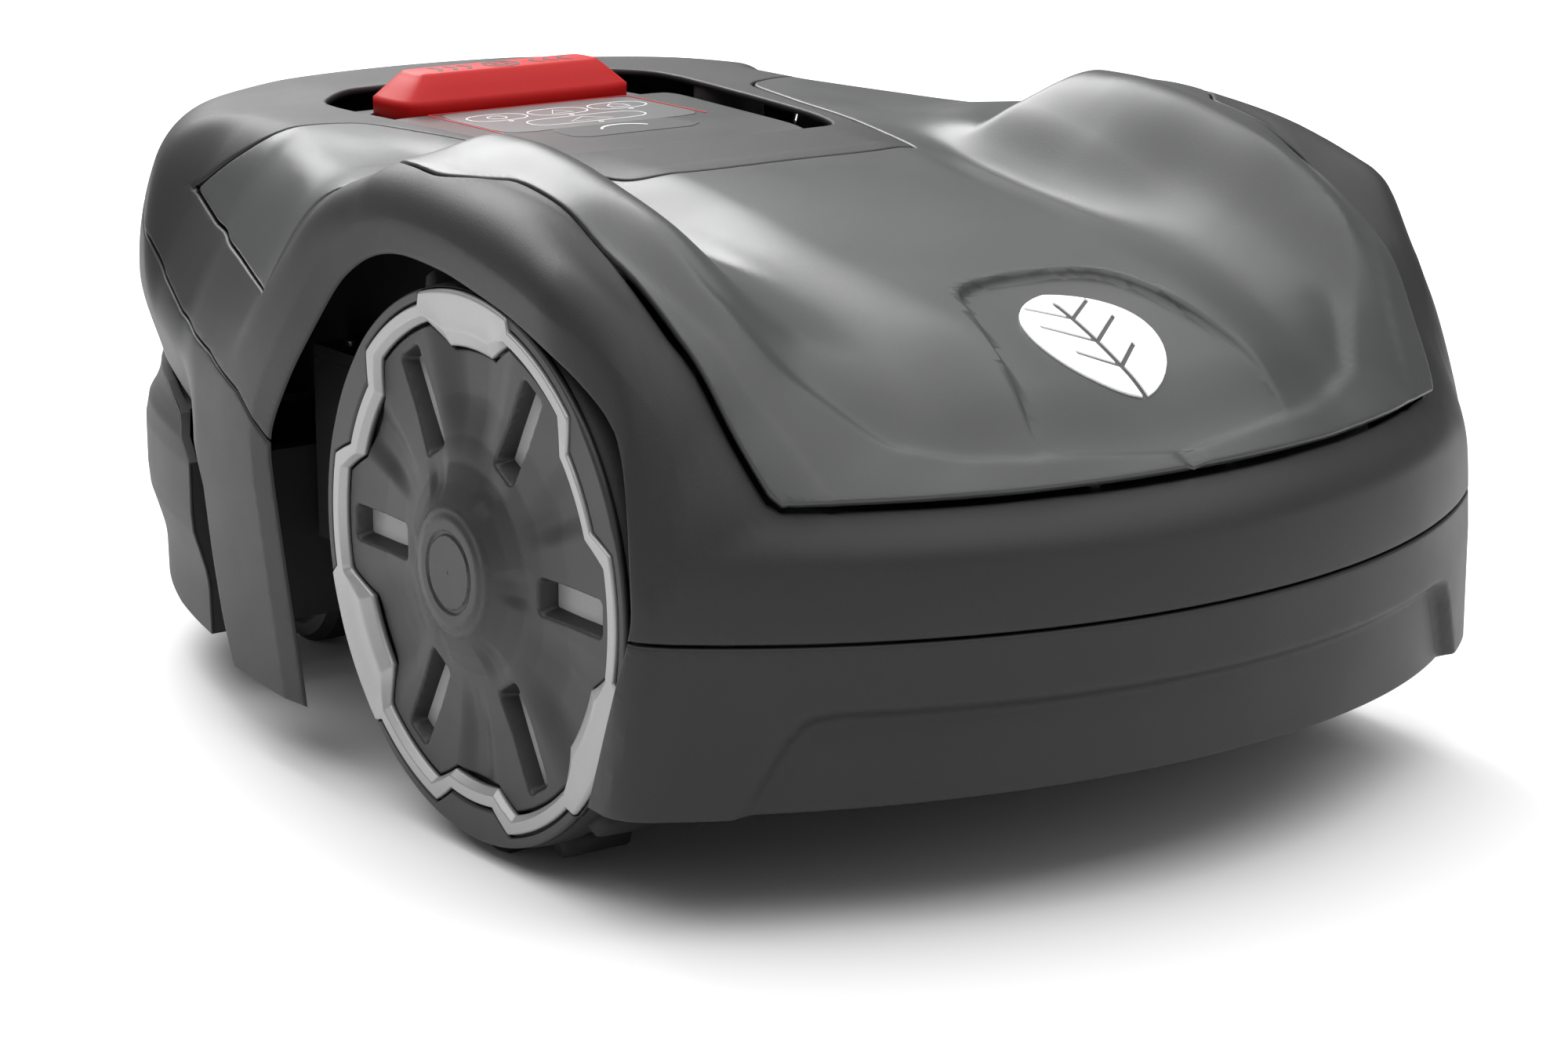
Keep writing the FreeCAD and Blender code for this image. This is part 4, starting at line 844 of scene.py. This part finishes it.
def make_tyre(side, name):
    points, quads = revolved(TYRE_PROFILE, 240)
    all_points = [points]
    all_quads = [quads[:, ::-1]]
    base = len(points)
    for index in range(LUG_COUNT):
        corners, faces = lug_points(index)
        all_points.append(np.array(corners))
        all_quads.append(np.array(faces) + base)
        base += len(corners)
    points = np.concatenate(all_points) * [side, 1, 1]
    quads = np.concatenate(all_quads)
    if side < 0:
        quads = quads[:, ::-1]
    return make_object(name, points, [quads], LOOKS["tyre_rubber"])


# (piece, its face, thickness, look, slot, the node it replaces)
WHEEL_SHEETS = [
    ("wheel_face_", cap_face, 1.6, "rim_plastic", "rim_plastic", "wheel_cap_"),
    ("wheel_ring_", ring_face, 2.2, "trim_silver", "trim_silver", "wheel_trim_ring_"),
    ("wheel_band_", band_face, 1.6, "rim_plastic", "rim_plastic", None),
    ("wheel_insert_", insert_face, 1.0, "insert_grey", "rim_plastic", None),
]
for side, word in ((1, "left"), (-1, "right")):
    body = "drive_wheel_" + word
    for part, face, thickness, look, slot, node in WHEEL_SHEETS:
        data, triangles, height = face()
        sheet = wheel_sheet(part + word, side, data, triangles, height, 0.0, thickness, LOOKS[look])
        piece(sheet, body, slot, *([node + word] if node else []))
    piece(make_tyre(side, "tyre_tread_" + word), body, "tyre_rubber", "tyre_" + word)


# ---- chassis nose -------------------------------------------------------------------------
# Top and bottom edge of the nose seen from the side: (y, z). Its wall inside the plan outline: (z, inset).
NOSE_SIDE = [(-300, 126), (-169, 117), (-137, 111), (-109, 98), (-109, 28), (-158, 28), (-225, 34),
             (-262, 48), (-300, 70)]
NOSE_WALL = [(20, 7.5), (50, 7.0), (60, 4.3), (70, 1.2), (78, 0.5), (97, 0.5), (105, 2.0), (112, 6.5),
             (140, 10)]
CONTACT_WINDOW = [(13, 92), (31, 92), (31, 108), (13, 108)]
NOSE_PROUD = 0.25


def nose_inset(z):
    softened = (along(NOSE_WALL, z - 4) + along(NOSE_WALL, z) + along(NOSE_WALL, z + 4)) / 3
    return np.minimum(along(NOSE_WALL, z), softened) - NOSE_PROUD


def make_nose():
    """Smooth skin over the chassis nose, open at the charging contacts."""
    around, rows = int(420 * FINE), int(84 * FINE)
    angle, z = np.meshgrid(np.radians(np.linspace(-152, -28, around)), np.linspace(128, 26, rows),
                           indexing="ij")
    inset = nose_inset(z)
    reach = farthest(angle.shape, PLAN_REACH, 30,
                     lambda far: plan_distance(far * np.cos(angle), far * np.sin(angle)) < -inset)
    p = np.stack([reach * np.cos(angle), reach * np.sin(angle), z], -1).reshape(-1, 3)
    normal = surface_normals(p, lambda q: plan_distance(q[:, 0], q[:, 1]) + nose_inset(q[:, 2]))
    edge = outline_distance(p[:, 1], p[:, 2], NOSE_SIDE)
    window = outline_distance(np.abs(p[:, 0]), p[:, 2], CONTACT_WINDOW)
    data = np.concatenate([p, normal, edge[:, None], window[:, None]], 1)
    triangles = grid_triangles(around, rows)
    triangles = triangles[triangles.max(1) - triangles.min(1) < 3 * rows]
    for column, level in ((6, 0.0), (6, 0.2), (7, 0.0)):
        data, triangles = slice_surface(data, triangles, column, level)
    middle = data[triangles].mean(1)
    triangles = triangles[(middle[:, 6] > 0) & (middle[:, 7] < 0)]
    drop = edge_drop(np.maximum(data[:, 6], 0.0), 0.2)
    skin = thick_sheet("chassis_nose", data[:, :3], data[:, 3:6], triangles, drop, 0.0, 1.2,
                       LOOKS["chassis_black"])
    piece(skin, "chassis", "chassis_black")


make_nose()


# ---- console, stop bar and badge ----------------------------------------------------------
def shrunk(points, distance):
    """Outline moved inwards by a distance, corner by corner."""
    p = np.array(points, float)
    before = p - np.roll(p, 1, axis=0)
    after = np.roll(p, -1, axis=0) - p
    before /= np.linalg.norm(before, axis=1, keepdims=True)
    after /= np.linalg.norm(after, axis=1, keepdims=True)
    area = np.sum(p[:, 0] * np.roll(p[:, 1], -1) - np.roll(p[:, 0], -1) * p[:, 1])
    turn = 1.0 if area > 0 else -1.0
    left = np.stack([-before[:, 1] - after[:, 1], before[:, 0] + after[:, 0]], 1) * turn
    left /= np.linalg.norm(left, axis=1, keepdims=True)
    across = np.stack([-before[:, 1], before[:, 0]], 1) * turn
    cosine = np.maximum(np.sum(left * across, axis=1), 0.4)
    return p + left * (distance / cosine)[:, None]


def lofted(name, rings, material):
    """Closed solid through rings of equal length, each an array of points from bottom to top."""
    count = len(rings[0])
    points = np.concatenate(rings)
    quads = []
    for level in range(len(rings) - 1):
        a = level * count + np.arange(count)
        b = level * count + (np.arange(count) + 1) % count
        quads.append(np.stack([a, b, b + count, a + count], 1))
    quads = np.concatenate(quads)
    bottom = np.arange(count)[::-1][None]
    top = (len(rings) - 1) * count + np.arange(count)[None]
    area = np.sum(rings[0][:, 0] * np.roll(rings[0][:, 1], -1) - np.roll(rings[0][:, 0], -1) * rings[0][:, 1])
    faces = [quads, bottom, top]
    if area < 0:
        faces = [f[:, ::-1] for f in faces]
    return make_object(name, points, faces, material)


def slab(name, outline, bottom, top, radius, material):
    """Plate with a rounded upper edge."""
    rings = [np.c_[outline, np.full(len(outline), bottom)]]
    for step in range(5):
        angle = math.pi / 2 * step / 4
        inset = radius * (1 - math.cos(angle))
        height = top - radius + radius * math.sin(angle)
        ring = shrunk(outline, inset) if inset else np.array(outline, float)
        rings.append(np.c_[ring, np.full(len(ring), height)])
    flat = shrunk(outline, radius + 0.6)
    rings.append(np.c_[flat, np.full(len(flat), top)])
    return lofted(name, rings, material)


def strokes(name, loops, height, width, thickness, material, closed=True):
    """Raised lines along closed or open runs of plan points, on a flat surface."""
    points = []
    faces = []
    for loop in loops:
        p = np.array(loop, float)
        count = len(p)
        ahead = np.roll(p, -1, axis=0) - p
        behind = p - np.roll(p, 1, axis=0)
        if not closed:
            ahead[-1] = behind[-1]
            behind[0] = ahead[0]
        direction = (ahead / np.linalg.norm(ahead, axis=1, keepdims=True)
                     + behind / np.linalg.norm(behind, axis=1, keepdims=True))
        direction /= np.linalg.norm(direction, axis=1, keepdims=True)
        side = np.stack([-direction[:, 1], direction[:, 0]], 1) * width / 2
        base = sum(len(q) for q in points)
        low = np.full(count, height - 0.05)
        high = np.full(count, height + thickness)
        points.append(np.concatenate([np.c_[p + side, low], np.c_[p + side, high],
                                      np.c_[p - side, high], np.c_[p - side, low]]))
        last = count if closed else count - 1
        for k in range(last):
            n = (k + 1) % count
            for row in range(4):
                other = (row + 1) % 4
                faces.append((base + row * count + k, base + row * count + n, base + other * count + n,
                              base + other * count + k))
        if not closed:
            faces.append(tuple(base + row * count for row in range(4)))
            faces.append(tuple(base + row * count + count - 1 for row in (3, 2, 1, 0)))
    obj = make_object(name, np.concatenate(points), [np.array(faces)], material, smooth=False)
    mesh = obj.data
    bm = bmesh.new()
    bm.from_mesh(mesh)
    bmesh.ops.recalc_face_normals(bm, faces=bm.faces)
    bm.to_mesh(mesh)
    bm.free()
    return obj


def rounded_box(x0, x1, y0, y1):
    return rounded([(x0, y0), (x1, y0), (x1, y1), (x0, y1)], 2)


def circle(cx, cy, radius, count):
    angle = 2 * math.pi * np.arange(count) / count
    return np.stack([cx + radius * np.cos(angle), cy + radius * np.sin(angle)], 1)


DECK_HALF = [(0, -25), (55, -25), (61, -44), (71, -148), (0, -148)]
DECK_TOP = 217.0
KEYPAD_TOP = 217.25
BAR_TOP = 232.0
STOP_BASE = [(0, -151), (50, -151), (56, -157), (56, -180), (50, -186), (0, -186)]
STOP_TOP = [(0, -158.5), (41.5, -158.5), (44.5, -161.5), (44.5, -176), (41.5, -178.8), (0, -178.8)]

plastic("line_white", (0.75, 0.75, 0.75), 0.5, grain=0.02, mottle=0.02)
plastic("line_red", (0.50, 0.010, 0.009), 0.4, grain=0.02, mottle=0.02)
plastic("mark_black", (0.012, 0.012, 0.012), 0.5, grain=0.05)
plastic("keypad_grey", (0.09, 0.09, 0.092), 0.38, grain=0.03, mottle=0.05, coat=0.1, coat_roughness=0.3)


def make_console():
    deck = slab("deck_top", rounded(both_sides(DECK_HALF)), 214.0, DECK_TOP, 1.0, LOOKS["console_gloss"])
    piece(deck, "chassis", "console_gloss", "console_deck")
    membrane = rounded_box(-46.8, 46.8, -145.8, -86.2)
    keypad = slab("keypad_membrane", membrane, 216.4, KEYPAD_TOP, 0.2, LOOKS["keypad_grey"])
    piece(keypad, "chassis", "console_gloss", "keypad_overlay")
    gauge_angle = np.linspace(0, math.pi, 25)
    gauge = np.stack([30 * np.cos(gauge_angle), -80 - 13 * np.sin(gauge_angle)], 1)
    gauge = np.concatenate([gauge, [(-30, -62), (30, -62)]])
    plate = slab("gauge_plate", rounded(gauge[::-1], 1), 216.8, DECK_TOP + 0.2, 0.15, LOOKS["mark_black"])
    piece(plate, "chassis", "console_gloss")
    buttons = [rounded_box(x0, x1, -133, -117) for x0, x1 in ((16, 42), (-13, 13), (-42, -16))]
    buttons.append(rounded_box(-27, 27, -111, -95))
    play = [(-5, -121), (5, -121), (0, -129)]
    home = [(-33, -121), (-25, -121), (-25, -126), (-29, -130), (-33, -126)]
    spark = circle(29, -125, 4.2, 8)
    wide = [(-10, -99), (10, -99), (0, -107)]
    dots = [circle(x, y, 0.9, 10) for x, y in ((29, -114.2), (0, -114.2), (-29, -114.2), (0, -92.2))]
    loops = buttons + [play, home, spark, wide] + dots
    marks = strokes("keypad_marks", loops, KEYPAD_TOP, 0.55, 0.12, LOOKS["line_white"])
    piece(marks, "chassis", "console_gloss")
    sweep = np.linspace(math.radians(25), math.radians(155), 17)
    arc = np.stack([12 * np.cos(sweep), -70 - 12 * np.sin(sweep)], 1)
    dial = strokes("gauge_arc", [arc], DECK_TOP + 0.2, 1.1, 0.12, LOOKS["line_white"], closed=False)
    piece(dial, "chassis", "console_gloss")
    edge = [(48.4, -88), (48.4, -146.5), (46.5, -147.4), (-46.5, -147.4), (-48.4, -146.5), (-48.4, -88)]
    red = strokes("keypad_border", [edge], DECK_TOP, 0.9, 0.22, LOOKS["line_red"], closed=False)
    piece(red, "chassis", "console_gloss")


def make_stop_bar():
    base = rounded(both_sides(STOP_BASE), 3)
    top = rounded(both_sides(STOP_TOP), 3)
    rings = [np.c_[base, np.full(len(base), 209.0)], np.c_[base, np.full(len(base), 219.6)]]
    for share, inset in ((0.0, 0.0), (0.12, 0.0), (0.5, 0.0), (0.86, 0.0), (0.97, 0.35)):
        ring = base * (1 - share) + top * share
        ring = shrunk(ring, inset) if inset else ring
        rings.append(np.c_[ring, np.full(len(ring), 221.2 + 10.0 * share)])
    rings.append(np.c_[shrunk(top, 0.9), np.full(len(top), 231.8)])
    rings.append(np.c_[shrunk(top, 1.9), np.full(len(top), BAR_TOP)])
    bar = lofted("stop_bar", rings, LOOKS["stop_red"])
    piece(bar, "stop_button", "stop_red", "stop_button")
    octagon = circle(0, -168.6, 7.4, 8)
    inner = [(-3.0, -171.4), (3.0, -171.4), (3.0, -165.8), (-3.0, -165.8)]
    chevrons = []
    for side in (-1, 1):
        for offset in (15, 22, 29):
            tail = side * (offset + 3)
            chevrons.append([(tail, -173.6), (side * offset, -168.6), (tail, -163.6)])
    marks = strokes("stop_marks", [octagon, inner], BAR_TOP, 2.0, 0.1, LOOKS["mark_black"])
    piece(marks, "stop_button", "stop_red")
    arrows = strokes("stop_arrows", chevrons, BAR_TOP, 2.2, 0.1, LOOKS["mark_black"], closed=False)
    piece(arrows, "stop_button", "stop_red")


# The coil under the stop bar: its place, foot and height.
STOP_Y = -168.5
SPRING_FOOT = 187.0
SPRING_HEIGHT = 21.7


def make_stop_spring():
    """Coil under the stop bar."""
    turns, wire, radius, around = 6, 0.9, 8.0, 12
    share = np.linspace(0, 1, turns * 28 + 1)
    angle = 2 * math.pi * turns * share
    out = np.stack([np.cos(angle), np.sin(angle), np.zeros(len(angle))], 1)
    centre = out * radius + [0, STOP_Y, 0]
    centre[:, 2] = SPRING_FOOT + wire + (SPRING_HEIGHT - 2 * wire) * share
    along_wire = np.gradient(centre, axis=0)
    along_wire /= np.linalg.norm(along_wire, axis=1, keepdims=True)
    up = np.cross(along_wire, out)
    turn = 2 * math.pi * np.arange(around) / around
    points = (centre[:, None] + wire * np.cos(turn)[None, :, None] * out[:, None]
              + wire * np.sin(turn)[None, :, None] * up[:, None]).reshape(-1, 3)
    i, j = np.meshgrid(np.arange(len(angle) - 1), np.arange(around), indexing="ij")
    after = (j + 1) % around
    quads = np.stack([i * around + j, i * around + after, (i + 1) * around + after, (i + 1) * around + j], -1)
    last = (len(angle) - 1) * around + np.arange(around)
    faces = [quads.reshape(-1, 4), np.arange(around)[::-1][None], last[None]]
    slot = NODE_SLOTS["stop_spring"]
    coil = piece(make_object("stop_coil", points, faces, LOOKS[slot]), "chassis", slot, "stop_spring")
    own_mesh(coil)


BADGE_Y = 216.0
LEAF_LENGTH = 62.0
LEAF_WIDTH = 50.0


def make_badge():
    """White leaf plate with a midrib and side veins, lying on the recess in the hood."""
    rows = int(150 * FINE)
    columns = int(130 * FINE)
    u, v = np.meshgrid(np.linspace(-26, 26, columns), np.linspace(-32, 32, rows), indexing="ij")
    u = u.reshape(-1)
    v = v.reshape(-1)
    radius = (LEAF_LENGTH**2 + LEAF_WIDTH**2) / (4 * LEAF_WIDTH)
    shift = radius - LEAF_WIDTH / 2
    leaf = radius - np.maximum(np.hypot(u - shift, v), np.hypot(u + shift, v))
    rib = np.abs(u) - 1.1 + np.maximum(-v - 22, 0) * 0.4
    veins = np.full(len(u), 50.0)
    for start in (-12, 3, 17):
        distance = np.abs((v - start) + 0.75 * np.abs(u)) * 0.8 - 0.75
        reach = np.abs(u) - (17 - 0.25 * abs(start))
        veins = np.minimum(veins, np.maximum(distance, reach))
    field = np.minimum(np.minimum(leaf, rib), veins)
    y = BADGE_Y + v * 0.9
    z = top_height(u, y)
    dy = top_height(u, y + 0.5) - top_height(u, y - 0.5)
    dx = top_height(u + 0.5, y) - top_height(u - 0.5, y)
    normal = np.stack([-dx, -dy, np.ones(len(u))], 1)
    normal /= np.linalg.norm(normal, axis=1, keepdims=True)
    data = np.concatenate([np.stack([u, y, z], 1), normal, field[:, None]], 1)
    i, j = np.meshgrid(np.arange(columns - 1), np.arange(rows - 1), indexing="ij")
    a = (i * rows + j).reshape(-1)
    triangles = np.concatenate([np.stack([a, a + rows, a + rows + 1], 1),
                                np.stack([a, a + rows + 1, a + 1], 1)])
    for level in (0.0, 0.15, 0.5):
        data, triangles = slice_surface(data, triangles, 6, level)
    middle = data[triangles].mean(1)
    triangles = triangles[middle[:, 6] > 0]
    lift = BADGE_DEPTH * (1 - ramp(205, 262, data[:, 1])) - 0.9
    drop = edge_drop(np.maximum(data[:, 6], 0.0), 0.5)
    depth = np.maximum(lift + 1.2, 1.3)
    badge = thick_sheet("badge_leaf", data[:, :3], data[:, 3:6], triangles, drop, lift, depth,
                        LOOKS["badge_white"])
    piece(badge, "shell", "badge_white", "hood_badge")


make_console()
make_stop_bar()
make_stop_spring()
make_badge()


# ---- floor, lights and camera -------------------------------------------------------------
FLOOR_REACH = 30.0
FLOOR_Z = -0.0002


def make_floor():
    bm = bmesh.new()
    corners = ((-1, -1), (1, -1), (1, 1), (-1, 1))
    bm.faces.new([bm.verts.new((x * FLOOR_REACH, y * FLOOR_REACH, FLOOR_Z)) for x, y in corners])
    mesh = bpy.data.meshes.new("floor")
    bm.to_mesh(mesh)
    bm.free()
    floor = bpy.data.objects.new("floor", mesh)
    bpy.context.scene.collection.objects.link(floor)
    material, _, _, shader, _ = node_tools("studio_floor")
    shader.inputs["Base Color"].default_value = (0.86, 0.86, 0.86, 1)
    shader.inputs["Roughness"].default_value = 0.9
    shader.inputs["Specular IOR Level"].default_value = 0.1
    mesh.materials.append(material)


def area_light(name, spot, target, size, power):
    light = bpy.data.lights.new(name, "AREA")
    light.energy = power
    light.shape = "RECTANGLE"
    light.size = size
    light.size_y = size
    obj = bpy.data.objects.new(name, light)
    obj.location = spot
    obj.rotation_euler = (Vector(target) - Vector(spot)).to_track_quat("-Z", "Y").to_euler()
    bpy.context.scene.collection.objects.link(obj)


make_floor()
world = bpy.data.worlds.new("studio")
bpy.context.scene.world = world
world.use_nodes = True
world.node_tree.nodes["Background"].inputs["Color"].default_value = (1, 1, 1, 1)
world.node_tree.nodes["Background"].inputs["Strength"].default_value = 0.26
area_light("overhead", (0, 0, 3.5), (0, 0, 0), 7.0, 320)
area_light("key_front", (-0.35, -1.9, 1.7), (0, -0.05, 0.15), 1.4, 54)
area_light("rear_fill", (-0.9, 1.9, 1.3), (0, 0.1, 0.12), 1.2, 6)
bpy.context.scene.view_settings.view_transform = "Standard"

camera = bpy.data.cameras.new("camera")
camera.lens = 90.0
camera.sensor_width = 36.0
camera.clip_start = 0.05
camera_object = bpy.data.objects.new("camera", camera)
camera_object.location = (0.8569, 1.2236, 0.4567)
camera_object.rotation_euler = Vector((-0.5657, -0.7856, -0.2505)).to_track_quat("-Z", "Y").to_euler()
bpy.context.scene.collection.objects.link(camera_object)
bpy.context.scene.camera = camera_object
